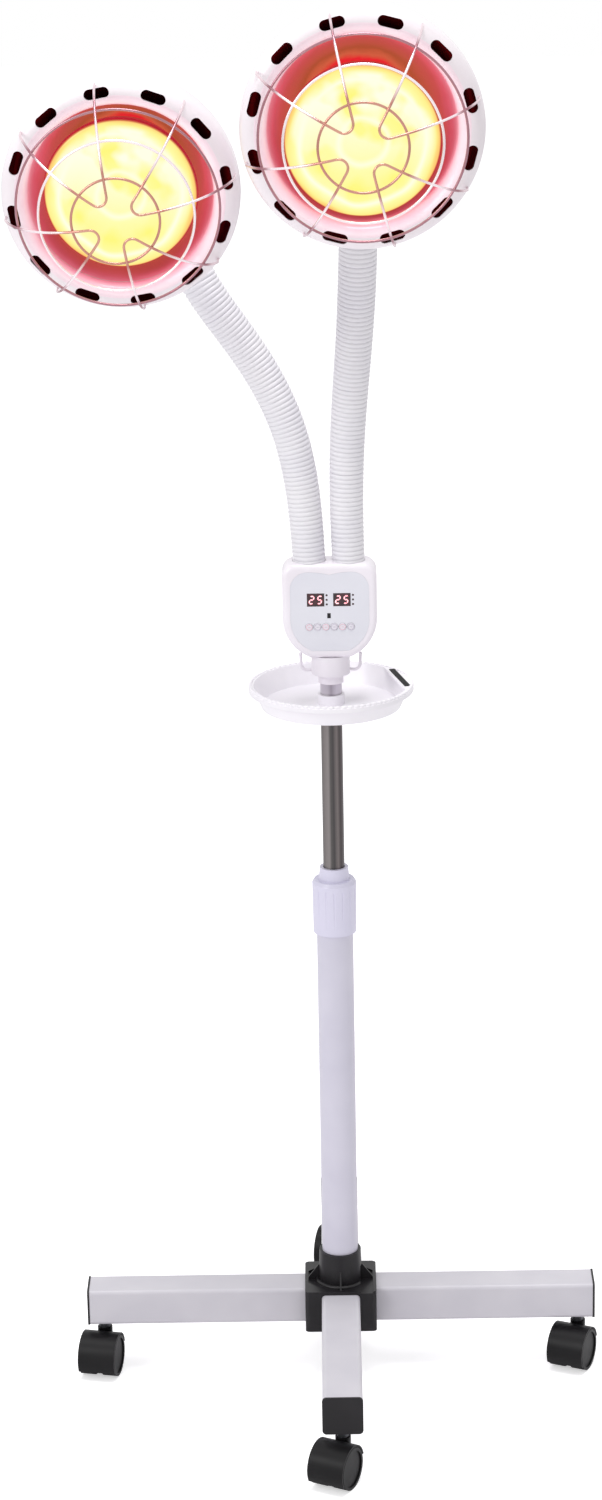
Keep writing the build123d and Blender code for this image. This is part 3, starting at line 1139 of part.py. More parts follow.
for side in ARM_SIDES:
    head = head_plane(side)
    bulb_frame = bulb_plane(side)
    with BuildPart() as hood:
        with BuildSketch(lathe_plane(head)):
            with BuildLine():
                # neck, bowl, mouth, rolled rim and its band, drawn as the side that faces the front
                Line((NECK_OPENING, -SPIGOT_DEPTH), (NECK_OPENING, -HOOD_DEPTH))
                ThreePointArc(
                    (NECK_OPENING, -HOOD_DEPTH),
                    (BOWL_MID_RADIUS, -BOWL_MID_DEPTH),
                    (MOUTH_RADIUS, -RIM_ROLL),
                )
                ThreePointArc(
                    (MOUTH_RADIUS, -RIM_ROLL),
                    (
                        FLANGE_CROWN - (FLANGE_CROWN - MOUTH_RADIUS) * sin(radians(45)),
                        RIM_ROLL * (cos(radians(45)) - 1),
                    ),
                    (FLANGE_CROWN, 0),
                )
                RadiusArc((FLANGE_CROWN, 0), (HEAD_RADIUS, -RIM_ROLL), RIM_ROLL)
                Line((HEAD_RADIUS, -RIM_ROLL), (HEAD_RADIUS, -RIM_ROLL - RIM_BAND))
                offset(amount=HEAD_WALL, side=Side.RIGHT)
            make_face()
            with BuildLine():
                # the back shell, from the rim's band to a shoulder that the rear cap sits on
                Line((HEAD_RADIUS, -RIM_ROLL), (HEAD_RADIUS, -RIM_ROLL - RIM_BAND))
                ThreePointArc(
                    (HEAD_RADIUS, -RIM_ROLL - RIM_BAND),
                    (SHELL_MID_RADIUS, -SHELL_MID_DEPTH),
                    (CAP_RADIUS, -SHELL_REAR_DEPTH),
                )
                Line(
                    (CAP_RADIUS, -SHELL_REAR_DEPTH),
                    (NECK_OPENING + HEAD_WALL / 2, -SHELL_REAR_DEPTH),
                )
                offset(amount=HEAD_WALL, side=Side.RIGHT)
            make_face()
        revolve(axis=spin_axis(head))
        with BuildSketch(head):
            with PolarLocations(SLOT_CIRCLE, SLOT_COUNT, start_angle=SLOT_TURN):
                SlotOverall(SLOT_LENGTH, SLOT_WIDTH, rotation=90)
        extrude(amount=-SLOT_DEPTH, mode=Mode.SUBTRACT)
        # a hole in the flange for each wire end of the guard
        with BuildSketch(head):
            for angle in PAIR_ANGLES:
                with Locations(*[guard_wire_ends(angle, hand)[0] for hand in (-1, 1)]):
                    Circle(GUARD_FOOT_WIRE + SEAT)
        extrude(amount=-GUARD_FOOT_DEPTH - SEAT, mode=Mode.SUBTRACT)
    save(hood, f"hood_{side}")

    with BuildPart() as rear_cap:
        with BuildSketch(lathe_plane(head)):
            with BuildLine():
                Line((0, -CAP_DEPTH), (CAP_REAR_RADIUS, -CAP_DEPTH))
                TangentArc(
                    (CAP_RADIUS, -CAP_SHOULDER_DEPTH),
                    (CAP_REAR_RADIUS, -CAP_DEPTH),
                    tangent=(0, -1),
                )
                Polyline(
                    (CAP_RADIUS, -CAP_SHOULDER_DEPTH),
                    (CAP_RADIUS, -CAP_FRONT_DEPTH),
                    (CAP_BORE, -CAP_FRONT_DEPTH),
                    (CAP_BORE, -SPIGOT_DEPTH - SEAT),
                    (CAP_BORE - HEAD_WALL, -SPIGOT_DEPTH - SEAT),
                    (CAP_BORE - HEAD_WALL, -CAP_SHOULDER_DEPTH),
                    (CAP_FLOOR_RADIUS, -CAP_FLOOR_DEPTH),
                    (0, -CAP_FLOOR_DEPTH),
                    (0, -CAP_DEPTH),
                )
            make_face()
        revolve(axis=spin_axis(head))
        # a pocket for the lamp holder, a bore for the hose and a way for the wires between them
        with BuildSketch(bulb_frame.offset(-HOLDER_DEPTH)):
            Circle(HOLDER_RADIUS + SEAT)
        extrude(amount=HOLDER_DEPTH - CAP_SHOULDER_DEPTH, mode=Mode.SUBTRACT)
        with BuildSketch(head.offset(-CAP_DEPTH)):
            Circle(HOSE_RADIUS_HIGH + SEAT)
        extrude(amount=HOSE_SEAT, mode=Mode.SUBTRACT)
        with BuildSketch(head.offset(-CAP_DEPTH)):
            Circle(WIRE_HOLE_RADIUS)
        extrude(amount=CAP_DEPTH - CAP_FLOOR_DEPTH, mode=Mode.SUBTRACT)
    save(rear_cap, f"rear_cap_{side}")

    with BuildPart() as holder:
        with BuildSketch(bulb_frame.offset(-HOLDER_DEPTH)):
            Circle(HOLDER_RADIUS)
        extrude(amount=HOLDER_DEPTH - HOLDER_FRONT_DEPTH)
        with BuildSketch(bulb_frame.offset(-BASE_DEPTH - BASE_TIP - SEAT)):
            Circle(BASE_RADIUS + SEAT)
        extrude(amount=HOLDER_DEPTH, mode=Mode.SUBTRACT)
    save(holder, f"lamp_holder_{side}")

    with BuildPart() as bulb:
        with BuildSketch(lathe_plane(bulb_frame)):
            with BuildLine():
                # dome, shoulder, belly and neck, drawn as the outside of the glass
                TangentArc(
                    (0, -BULB_APEX_DEPTH),
                    (BULB_FACE_RADIUS, -BULB_FACE_DEPTH),
                    tangent=(1, 0),
                )
                ThreePointArc(
                    (BULB_FACE_RADIUS, -BULB_FACE_DEPTH),
                    (
                        BULB_FACE_RADIUS + (BULB_RADIUS - BULB_FACE_RADIUS) * sin(shoulder),
                        -BULB_FACE_DEPTH - (BULB_WIDEST_DEPTH - BULB_FACE_DEPTH) * (1 - cos(shoulder)),
                    ),
                    (BULB_RADIUS, -BULB_WIDEST_DEPTH),
                )
                ThreePointArc(
                    (BULB_RADIUS, -BULB_WIDEST_DEPTH),
                    (BULB_BELLY_RADIUS, -BULB_BELLY_DEPTH),
                    (BULB_THROAT_RADIUS, -BULB_THROAT_DEPTH),
                )
                TangentArc(
                    (BULB_NECK_RADIUS, -BULB_NECK_DEPTH),
                    (BULB_THROAT_RADIUS, -BULB_THROAT_DEPTH),
                    tangent=(0, 1),
                )
                offset(amount=BULB_GLASS, side=Side.RIGHT)
            make_face()
        revolve(axis=spin_axis(bulb_frame))
    save(bulb, f"bulb_{side}")

    with BuildPart() as bulb_base:
        with BuildSketch(lathe_plane(bulb_frame)):
            with BuildLine():
                Polyline(
                    (0, -BULB_NECK_DEPTH),
                    (BULB_NECK_RADIUS, -BULB_NECK_DEPTH),
                    (BASE_RADIUS, -BULB_NECK_DEPTH - BASE_TAPER),
                    (BASE_RADIUS, -BASE_DEPTH),
                    (BASE_TIP_RADIUS, -BASE_DEPTH - BASE_TIP),
                    (0, -BASE_DEPTH - BASE_TIP),
                    close=True,
                )
            make_face()
        revolve(axis=spin_axis(bulb_frame))
    save(bulb_base, f"bulb_base_{side}")

    with BuildPart() as guard:
        add(guard_form.part.moved(head.location), clean=False)
    save(guard, f"wire_guard_{side}")
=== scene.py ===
# %% [markdown]
# # A two-headed heat lamp on a castor stand
#
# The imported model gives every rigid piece, joint and place. This script dresses it: ribbed sleeves over
# the bending arms, round wire for the guards, digits on the displays, and a finish for every surface.
# All lengths are in metres, the lamp stands on Z = 0 and faces -Y.

# %% Load the frame
import json

import bmesh
import bpy
import numpy as np
from mathutils import Matrix, Vector


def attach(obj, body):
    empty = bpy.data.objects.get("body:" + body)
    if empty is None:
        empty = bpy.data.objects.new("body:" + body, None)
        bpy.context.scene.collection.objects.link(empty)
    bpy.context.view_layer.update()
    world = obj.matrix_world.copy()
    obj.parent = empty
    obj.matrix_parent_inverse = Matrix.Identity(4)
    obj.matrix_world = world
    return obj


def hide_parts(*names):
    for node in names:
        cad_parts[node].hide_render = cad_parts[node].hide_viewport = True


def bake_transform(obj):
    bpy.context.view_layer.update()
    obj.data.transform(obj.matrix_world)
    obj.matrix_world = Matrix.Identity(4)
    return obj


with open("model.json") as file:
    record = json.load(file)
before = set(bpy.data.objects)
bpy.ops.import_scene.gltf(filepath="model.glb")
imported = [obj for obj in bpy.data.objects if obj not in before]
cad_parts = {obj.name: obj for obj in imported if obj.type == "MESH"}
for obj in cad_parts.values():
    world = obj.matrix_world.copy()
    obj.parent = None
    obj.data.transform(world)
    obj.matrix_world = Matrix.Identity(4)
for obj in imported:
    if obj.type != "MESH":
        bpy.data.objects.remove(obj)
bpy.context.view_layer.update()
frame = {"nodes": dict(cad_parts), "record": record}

MM = 0.001
NODES = frame["nodes"]

# %% [markdown]
# ## Camera
#
# The camera stands 4.2 m away and 2.1 m up, above the heads, and looks down by 18 degrees. A long lens
# keeps the mast straight. The camera leans by one degree, as a hand-held one does.

# %% Camera
FOCAL_LENGTH = 90.46         # mm
FILM_SIZE = 36               # mm, the frame's longer side
CAMERA_PLACE = (-0.036, -4.159, 2.125)
CAMERA_PITCH = 17.84         # degrees below level
CAMERA_ROLL = -1.08          # degrees, about the line of sight
CAMERA_ORBIT = 0.51          # degrees, round the mast

camera_data = bpy.data.cameras.new("camera")
camera_data.lens = FOCAL_LENGTH
camera_data.sensor_width = FILM_SIZE
camera_data.clip_end = 100
camera = bpy.data.objects.new("camera", camera_data)
camera.matrix_world = (
    Matrix.Rotation(np.radians(CAMERA_ORBIT), 4, "Z")
    @ Matrix.Translation(CAMERA_PLACE)
    @ Matrix.Rotation(np.radians(90 - CAMERA_PITCH), 4, "X")
    @ Matrix.Rotation(np.radians(CAMERA_ROLL), 4, "Z")
)
bpy.context.collection.objects.link(camera)
bpy.context.scene.camera = camera
print("camera at", [round(value, 3) for value in camera.matrix_world.translation])

# %% [markdown]
# ## Materials
#
# A material is a small network of nodes. One function adds a node with its settings and its inputs: an
# input is either a plain value or the output of another node. Colours are written as the hex values
# that a colour picker shows, and one function turns them into the linear light that the shader wants.

# %% Helpers for materials
PATCH_MM = 60                # size of the soft patches of tone on a surface
WEAR_MM = 25                 # size of the patches in which its roughness varies
ROUGHNESS_RANGE = (-0.05, 0.06)


def linear(hex_colour):
    """An sRGB hex colour as linear light: the inverse of the display's transfer curve."""
    parts = np.array([int(hex_colour[start : start + 2], 16) for start in (1, 3, 5)]) / 255
    light = np.where(parts <= 0.04045, parts / 12.92, ((parts + 0.055) / 1.055) ** 2.4)
    return (*light.tolist(), 1.0)


def add_node(tree, kind, inputs=None, **settings):
    """Add one shader node, apply its settings, then fill or link its inputs."""
    node = tree.nodes.new("ShaderNode" + kind)
    for setting, value in settings.items():
        setattr(node, setting, value)
    for key, value in (inputs or {}).items():
        if isinstance(value, bpy.types.NodeSocket):
            tree.links.new(value, node.inputs[key])
        else:
            node.inputs[key].default_value = value
    return node


def maths(tree, operation, *values, **settings):
    """One arithmetic step on plain values or other nodes' outputs."""
    return add_node(tree, "Math", dict(enumerate(values)), operation=operation, **settings).outputs[0]


def rescaled(tree, value, old, new=(0, 1)):
    """A value carried linearly from one range onto another, and held at the new range's ends."""
    return add_node(
        tree, "MapRange",
        {"Value": value, "From Min": old[0], "From Max": old[1], "To Min": new[0], "To Max": new[1]},
    ).outputs["Result"]


def mix_colours(tree, factor, first, second):
    """The first colour where the factor is 0, the second where it is 1."""
    return add_node(tree, "Mix", {0: factor, 6: first, 7: second}, data_type="RGBA").outputs[2]


def new_material(name, **surface):
    """A material with a Principled shader; surface gives the shader's own plain values."""
    material = bpy.data.materials.new(name)
    material.use_nodes = True
    tree = material.node_tree
    shader = tree.nodes["Principled BSDF"]
    for key, value in surface.items():
        shader.inputs[key.replace("_", " ")].default_value = value
    return material, tree, shader


def colour_steps(tree, factor, *steps):
    """A colour ramp over a factor, from pairs of position and hex colour."""
    ramp = add_node(tree, "ValToRGB", {"Fac": factor})
    elements = ramp.color_ramp.elements
    while len(elements) < len(steps):
        elements.new(0.5)
    for element, (position, colour) in zip(elements, steps):
        element.position = position
        element.color = linear(colour)
    return ramp.outputs["Color"]


def pattern(tree, size_mm, detail=2.0, stretch=(1, 1, 1), place=None):
    """Noise on the piece's own coordinates, its features about size_mm across."""
    place = place or add_node(tree, "TexCoord").outputs["Object"]
    scaled = add_node(tree, "Mapping", {"Vector": place, "Scale": stretch})
    frequency = 1 / (size_mm * MM)
    noise = add_node(
        tree, "TexNoise", {"Vector": scaled.outputs["Vector"], "Scale": frequency, "Detail": detail}
    )
    return noise.outputs["Fac"]


def two_tones(tree, size_mm, dark, light):
    """Two close tones in soft patches about size_mm across."""
    return colour_steps(tree, pattern(tree, size_mm), (0.35, dark), (0.65, light))


def mould(name, dark, light, roughness, grain_mm, grain_depth, coat=0.0, **more):
    """A moulded or sprayed surface: two close tones in soft patches, and a fine grain in its bump."""
    material, tree, shader = new_material(name, Coat_Weight=coat, Coat_Roughness=0.15, **more)
    tree.links.new(two_tones(tree, PATCH_MM, dark, light), shader.inputs["Base Color"])
    grain = pattern(tree, grain_mm, detail=3)
    worn = [roughness + change for change in ROUGHNESS_RANGE]
    wear = rescaled(tree, pattern(tree, WEAR_MM), (0, 1), worn)
    tree.links.new(wear, shader.inputs["Roughness"])
    bump = add_node(tree, "Bump", {"Height": grain, "Strength": 0.25, "Distance": grain_depth * MM})
    tree.links.new(bump.outputs["Normal"], shader.inputs["Normal"])
    return material


# %% [markdown]
# ### Paints and plastics
#
# Legs and post are steel tube with a white powder coat: fused powder leaves a faint orange-peel skin,
# here 1.6 mm across. Collar, tray and box are moulded ABS, smooth and slightly glossy. Hub, end caps and
# castors are black nylon and cast metal, whose moulds are sandblasted, so they shine softly.

# %% Paints and plastics
powder_coat = mould("powder_coat", "#C9C6CE", "#CFCCD3", 0.42, 1.6, 0.05, coat=0.1)
post_coat = mould("post_coat", "#CFCCDB", "#D5D2E0", 0.40, 1.6, 0.04, coat=0.1)
white_abs = mould("white_abs", "#EFE9F0", "#F3EEF5", 0.33, 0.9, 0.02, coat=0.25)
tray_abs = mould("tray_abs", "#F3F0F6", "#F8F5FA", 0.36, 0.9, 0.02, coat=0.2)
sleeve_pe = mould("sleeve_polyethylene", "#E4E2E8", "#EAE8EC", 0.45, 0.8, 0.02)
black_cast = mould(
    "black_enamel_casting", "#161417", "#1D1B1E", 0.38, 0.7, 0.04, Specular_IOR_Level=0.35
)
black_nylon = mould("black_nylon", "#1B191C", "#232124", 0.46, 0.6, 0.03, Specular_IOR_Level=0.3)
castor_nylon = mould("castor_nylon", "#0C0B0D", "#121113", 0.40, 0.5, 0.02, Specular_IOR_Level=0.22)
collar_abs = mould("collar_abs", "#D9D6EA", "#DEDBEE", 0.36, 0.9, 0.02, coat=0.2)
acetal = mould("natural_acetal", "#D8D5CC", "#E0DED6", 0.4, 0.7, 0.02)
panel_film = mould("printed_polycarbonate_film", "#E0E0E9", "#E4E4EC", 0.32, 0.5, 0.01, coat=0.2)
key_cap = mould("key_cap_film", "#E3DFE8", "#E7E3EB", 0.4, 0.5, 0.01)
porcelain = mould("glazed_porcelain", "#E8E4DC", "#F0EDE6", 0.15, 1.0, 0.01, coat=0.6)
laminate = mould("solder_mask", "#12502E", "#17603A", 0.35, 0.8, 0.01)
strip_rubber = mould("strip_rubber", "#0B0A0C", "#100F12", 0.6, 0.5, 0.03, Specular_IOR_Level=0.2)
print(len(bpy.data.materials), "materials so far")

# %% [markdown]
# ### Metals
#
# The mast's inner tube is drawn stainless steel: drawing leaves fine lines along the tube, so the noise
# is stretched 200 times along Z. The bright tube's reflection of the room is painted into its colour as
# upright dark and light bands, with a lighter painted reflection of the tray above the tray. Bolts and
# screws are plated with zinc, and the bulbs' screw bases are rolled aluminium.

# %% Metals
METAL_ROUGHER = 0.1          # how much rougher a metal is in places
# painted reflection: between these heights the tube's colour turns to the painted reflection of the tray
PAINTED_TRAY_REFLECTION_Z = (0.850, 0.858)  # heights between which the tube comes to mirror the tray


def metal(name, dark, light, roughness, size_mm):
    """A metal whose tone and roughness vary with the same noise."""
    material, tree, shader = new_material(name, Metallic=1.0)
    marks = pattern(tree, size_mm, detail=4)
    tone = colour_steps(tree, marks, (0.3, dark), (0.7, light))
    tree.links.new(tone, shader.inputs["Base Color"])
    spread = rescaled(tree, marks, (0, 1), (roughness, roughness + METAL_ROUGHER))
    tree.links.new(spread, shader.inputs["Roughness"])
    return material


def painted_reflection_tube(name):
    """Bright tube in a light tent, with painted reflections: dark and light bands by the way its sides
    face.

    The ramp runs over the normal's X, from the tube's left edge to its right. Above the tray a painted
    reflection of the white tray makes it lighter there.
    """
    material, tree, shader = new_material(name, Metallic=0.6, Roughness=0.28)
    coordinates = add_node(tree, "TexCoord").outputs
    facing = add_node(tree, "SeparateXYZ", {"Vector": coordinates["Normal"]})
    lines = pattern(tree, 2.2, detail=4, stretch=(1, 1, 0.005))
    # the tube's width as 0 to 1, moved a little by the drawn lines
    shifted = maths(tree, "MULTIPLY_ADD", lines, 0.08, 0.46)
    across = maths(tree, "MULTIPLY_ADD", facing.outputs["X"], 0.5, shifted)
    # painted reflection: upright dark and light bands of the room, set by the way each side faces
    dark = colour_steps(
        tree, across,
        (0.00, "#4E4A49"), (0.14, "#7E7877"), (0.30, "#86807F"), (0.40, "#575453"), (0.55, "#484546"),
        (0.72, "#78706F"), (0.84, "#4C4647"), (1.00, "#5C5657"),
    )
    # painted reflection of the white tray, for the tube above the tray
    light = colour_steps(
        tree, across,
        (0.00, "#D2CCD4"), (0.30, "#C2BCC4"), (0.50, "#A29AA4"), (0.75, "#C6C0CA"), (1.00, "#CCC6CE"),
    )
    height = add_node(tree, "SeparateXYZ", {"Vector": coordinates["Object"]}).outputs["Z"]
    tone = mix_colours(tree, rescaled(tree, height, PAINTED_TRAY_REFLECTION_Z), dark, light)
    tree.links.new(tone, shader.inputs["Base Color"])
    return material


drawn_steel_painted_reflection = painted_reflection_tube("drawn_stainless_steel_with_painted_reflection")
zinc = metal("zinc_plate", "#55565A", "#6E6F74", 0.35, 1)
lamp_cap = metal("rolled_aluminium", "#BDBDBE", "#D2D2D2", 0.3, 2)
print(len(bpy.data.materials), "materials with the metals")

# %% [markdown]
# ## Surfaces
#
# Every new piece is a grid of points worked out in one go: a function of two parameters, such as the
# place along a path and the angle round it. The grid's edges meet themselves, so they are welded, and
# the faces are turned outwards by the sign of the volume that they enclose.


# %% Helpers for surfaces
def grid_faces(rows, columns, first):
    """The quads of a grid of rows x columns points, numbered from first."""
    corner = first + np.arange(rows * columns).reshape(rows, columns)
    return np.stack(
        [corner[:-1, :-1], corner[1:, :-1], corner[1:, 1:], corner[:-1, 1:]], axis=-1
    ).reshape(-1, 4)


def enclosed_volume(points, quads):
    """Six times the volume under a closed quad mesh: the sum of its triangles' triple products."""
    a, b, c, d = (points[quads[:, corner]] for corner in range(4))
    return np.einsum("ij,ij->", a, np.cross(b, c)) + np.einsum("ij,ij->", a, np.cross(c, d))


def make_piece(name, grids, material, smooth=True):
    """One object from closed grids of points, each of shape (rows, columns, 3), in metres."""
    points, quads, count = [], [], 0
    for grid in grids:
        faces = grid_faces(*grid.shape[:2], count)
        flat = grid.reshape(-1, 3)
        if enclosed_volume(flat - flat.mean(axis=0), faces - count) < 0:
            faces = faces[:, ::-1]
        points.append(flat)
        quads.append(faces)
        count += len(flat)
    points, quads = np.concatenate(points), np.concatenate(quads)
    mesh = bpy.data.meshes.new(name)
    mesh.vertices.add(len(points))
    mesh.vertices.foreach_set("co", points.ravel())
    mesh.loops.add(quads.size)
    mesh.loops.foreach_set("vertex_index", quads.ravel().astype(np.int32))
    mesh.polygons.add(len(quads))
    mesh.polygons.foreach_set("loop_start", np.arange(0, quads.size, 4, dtype=np.int32))
    mesh.polygons.foreach_set("use_smooth", np.full(len(quads), smooth))
    mesh.update(calc_edges=True)
    body = bmesh.new()
    body.from_mesh(mesh)
    bmesh.ops.remove_doubles(body, verts=body.verts, dist=1e-6)
    body.to_mesh(mesh)
    body.free()
    mesh.materials.append(material)
    piece = bpy.data.objects.new(name, mesh)
    bpy.context.collection.objects.link(piece)
    return piece


def unit(vectors):
    """Vectors divided by their own lengths."""
    return vectors / np.linalg.norm(vectors, axis=-1, keepdims=True)


def tube(path, radius, sides, away_from, closed=False):
    """A round tube along a path.

    At each point, one normal of the section points away from a fixed point and the other is square to
    it and to the path. The section is centre + radius (cos a * first + sin a * second). An open tube's
    ends are closed by a section of radius nought.
    """
    if closed:
        along = unit(np.roll(path, -1, axis=0) - np.roll(path, 1, axis=0))
    else:
        along = unit(np.gradient(path, axis=0))
    outward = path - away_from
    first = unit(outward - np.sum(outward * along, axis=1, keepdims=True) * along)
    second = np.cross(along, first)
    angle = np.linspace(0, 2 * np.pi, sides + 1)
    angle[-1] = 0
    ring = np.cos(angle)[:, None] * first[:, None, :] + np.sin(angle)[:, None] * second[:, None, :]
    radius = np.broadcast_to(radius, len(path))[:, None, None]
    grid = path[:, None, :] + radius * ring
    if closed:
        return np.concatenate([grid, grid[:1]])
    ends = [np.broadcast_to(path[end], grid[0].shape)[None] for end in (0, -1)]
    return np.concatenate([ends[0], grid, ends[1]])


# %% [markdown]
# ## Heads' own frames
#
# Each head is worked out in its own frame: the origin is the centre of the flange's foremost ring, x
# goes right, y up and z out of the mouth. Two small functions place such points in the lamp's frame.

# %% Frames of the heads
HEADS = {
    "right": {"rear": (41.0, -155.5, 1566.6), "nod": 4.0, "turn": 0.0, "roll": 0.0,
              "droop": 4.6, "elbow": 72.0},
    "left": {"rear": (-207.6, -67.4, 1505.5), "nod": 9.0, "turn": -1.0, "roll": -5.0,
             "droop": 0.0, "elbow": 92.0},
}
CAP_DEPTH = 195 * MM         # crown to the rear face, where the sleeve enters
BULB_PIVOT = 172 * MM        # behind the crown: the bulb droops about this point


def head_frame(side):
    """Origin and axes of a head: z faces out of the mouth, x is level but for the roll."""
    head = HEADS[side]
    nod, turn, roll = (np.radians(head[key]) for key in ("nod", "turn", "roll"))
    facing = np.array([np.sin(turn) * np.cos(nod), -np.cos(turn) * np.cos(nod), -np.sin(nod)])
    level = np.array([np.cos(turn), np.sin(turn), 0])
    upright = np.cross(facing, level)
    across = level * np.cos(roll) + upright * np.sin(roll)
    axes = np.array([across, np.cross(facing, across), facing])
    return np.array(head["rear"]) * MM + facing * CAP_DEPTH, axes


def bulb_frame(side):
    """The head's frame, drooped about the lamp holder's fixing."""
    origin, axes = head_frame(side)
    droop = np.radians(HEADS[side]["droop"])
    facing = axes[2] * np.cos(droop) - axes[1] * np.sin(droop)
    pivot = origin - axes[2] * BULB_PIVOT
    return pivot + facing * BULB_PIVOT, np.array([axes[0], np.cross(facing, axes[0]), facing])


def place(points, local_frame):
    """Points of a head's own frame in the lamp's frame."""
    origin, axes = local_frame
    return origin + points @ axes


def local_coordinates(tree, local_frame, source="Object"):
    """A piece's own coordinates seen in a head's frame: moved to its origin, then turned back."""
    origin, axes = local_frame
    turn = Matrix(axes.T.tolist()).to_euler()
    own = add_node(tree, "TexCoord").outputs[source]
    return add_node(
        tree, "Mapping", {"Vector": own, "Location": tuple(origin), "Rotation": turn}, vector_type="TEXTURE"
    ).outputs["Vector"]


def split_point(tree, coordinates):
    """A point's X, Y and Z as three outputs."""
    return add_node(tree, "SeparateXYZ", {"Vector": coordinates}).outputs


def flattened(tree, local):
    """A point of a head's frame, dropped onto the plane of the mouth."""
    return add_node(tree, "CombineXYZ", {"X": local["X"], "Y": local["Y"]}).outputs[0]


def from_axis(tree, local):
    """The distance of a point from the head's axis."""
    flat = flattened(tree, local)
    return add_node(tree, "VectorMath", {"Vector": flat}, operation="LENGTH").outputs["Value"]


def dot_product(tree, first, second):
    """How far two directions agree."""
    return add_node(tree, "VectorMath", {0: first, 1: second}, operation="DOT_PRODUCT").outputs["Value"]


print("right head faces", head_frame("right")[1][2].round(3))

# %% [markdown]
# ## Hoods
#
# The hood is glossy white heat-resistant plastic outside. Inside, the bulb's light on the bowl is painted
# into its colour and emission: pale pink at the mouth over rose and brown to red deep inside. The walls
# of the dark space behind the bowl, seen through the vent slots, are painted near-black as shade. The
# colour is a ramp over the depth behind the crown, and it is laid only on faces that look out of the mouth,
# so the hood's back stays white.

# %% Hood enamel with painted glow and painted shade
GLOW_DEPTH = 140 * MM        # crown to where the ramp ends
GLOW_RADIUS = 110 * MM       # the glow is laid on within this distance from the axis
PAINTED_GLOW_RADII = (108 * MM, 86 * MM)      # the bowl's painted glow, as emission, grows between these distances
PAINTED_GLOW_EMISSION = 0.60
FACING_LEAST = 0.02          # a face looks out of the mouth if its normal's Z is over this
# painted glow: the mouth's extra pink below is more of the bulb's painted light
MOUTH_RADII = (106 * MM, 95 * MM)      # the mouth's extra pink grows between these distances
MOUTH_HEIGHTS = (10 * MM, -90 * MM)    # and from this height down to this one
MOUTH_EXTRA_GLOW = 0.26            # at most, as a share of the ramp
# the walls behind the flange, where near-black shade is painted: Z in the head's frame, and distance from
# the axis
SHELL_Z = (-200 * MM, -17 * MM)
SHELL_AWAY = (99.5 * MM, 200 * MM)
BOWL_Z = (-124 * MM, -16.5 * MM)
BOWL_AWAY = (0, 99.9 * MM)
NARROWS_FROM = 70 * MM       # depth from which bowl and shell narrow
NARROWING = 0.5              # how fast they do there, and how much faster per metre
NARROWING_GROWTH = 5


def between(tree, value, low, high):
    """1 where low < value < high, else 0."""
    over = maths(tree, "GREATER_THAN", value, low)
    under = maths(tree, "LESS_THAN", value, high)
    return maths(tree, "MULTIPLY", over, under)


def behind_flange(tree, side, local, distance):
    """1 on the walls of the space behind the flange, the back shell's inside and the bowl's outside, where
    near-black shade is painted.
    """
    normal = local_coordinates(tree, (np.zeros(3), head_frame(side)[1]), "Normal")
    outwards = dot_product(tree, normal, flattened(tree, local))
    # bowl and shell both narrow towards the back, so the distance that parts them is corrected there
    behind = maths(tree, "MULTIPLY_ADD", local["Z"], -1, -NARROWS_FROM)
    behind = maths(tree, "MAXIMUM", behind, 0)
    growth = maths(tree, "MULTIPLY_ADD", behind, NARROWING_GROWTH, NARROWING)
    away = maths(tree, "MULTIPLY_ADD", behind, growth, distance)
    walls = []
    for depths, reach, facing in ((SHELL_Z, SHELL_AWAY, (-1, 0)), (BOWL_Z, BOWL_AWAY, (0, 1))):
        wall = maths(tree, "MULTIPLY", between(tree, local["Z"], *depths), between(tree, away, *reach))
        walls.append(maths(tree, "MULTIPLY", wall, between(tree, outwards, *facing)))
    return maths(tree, "MAXIMUM", *walls)


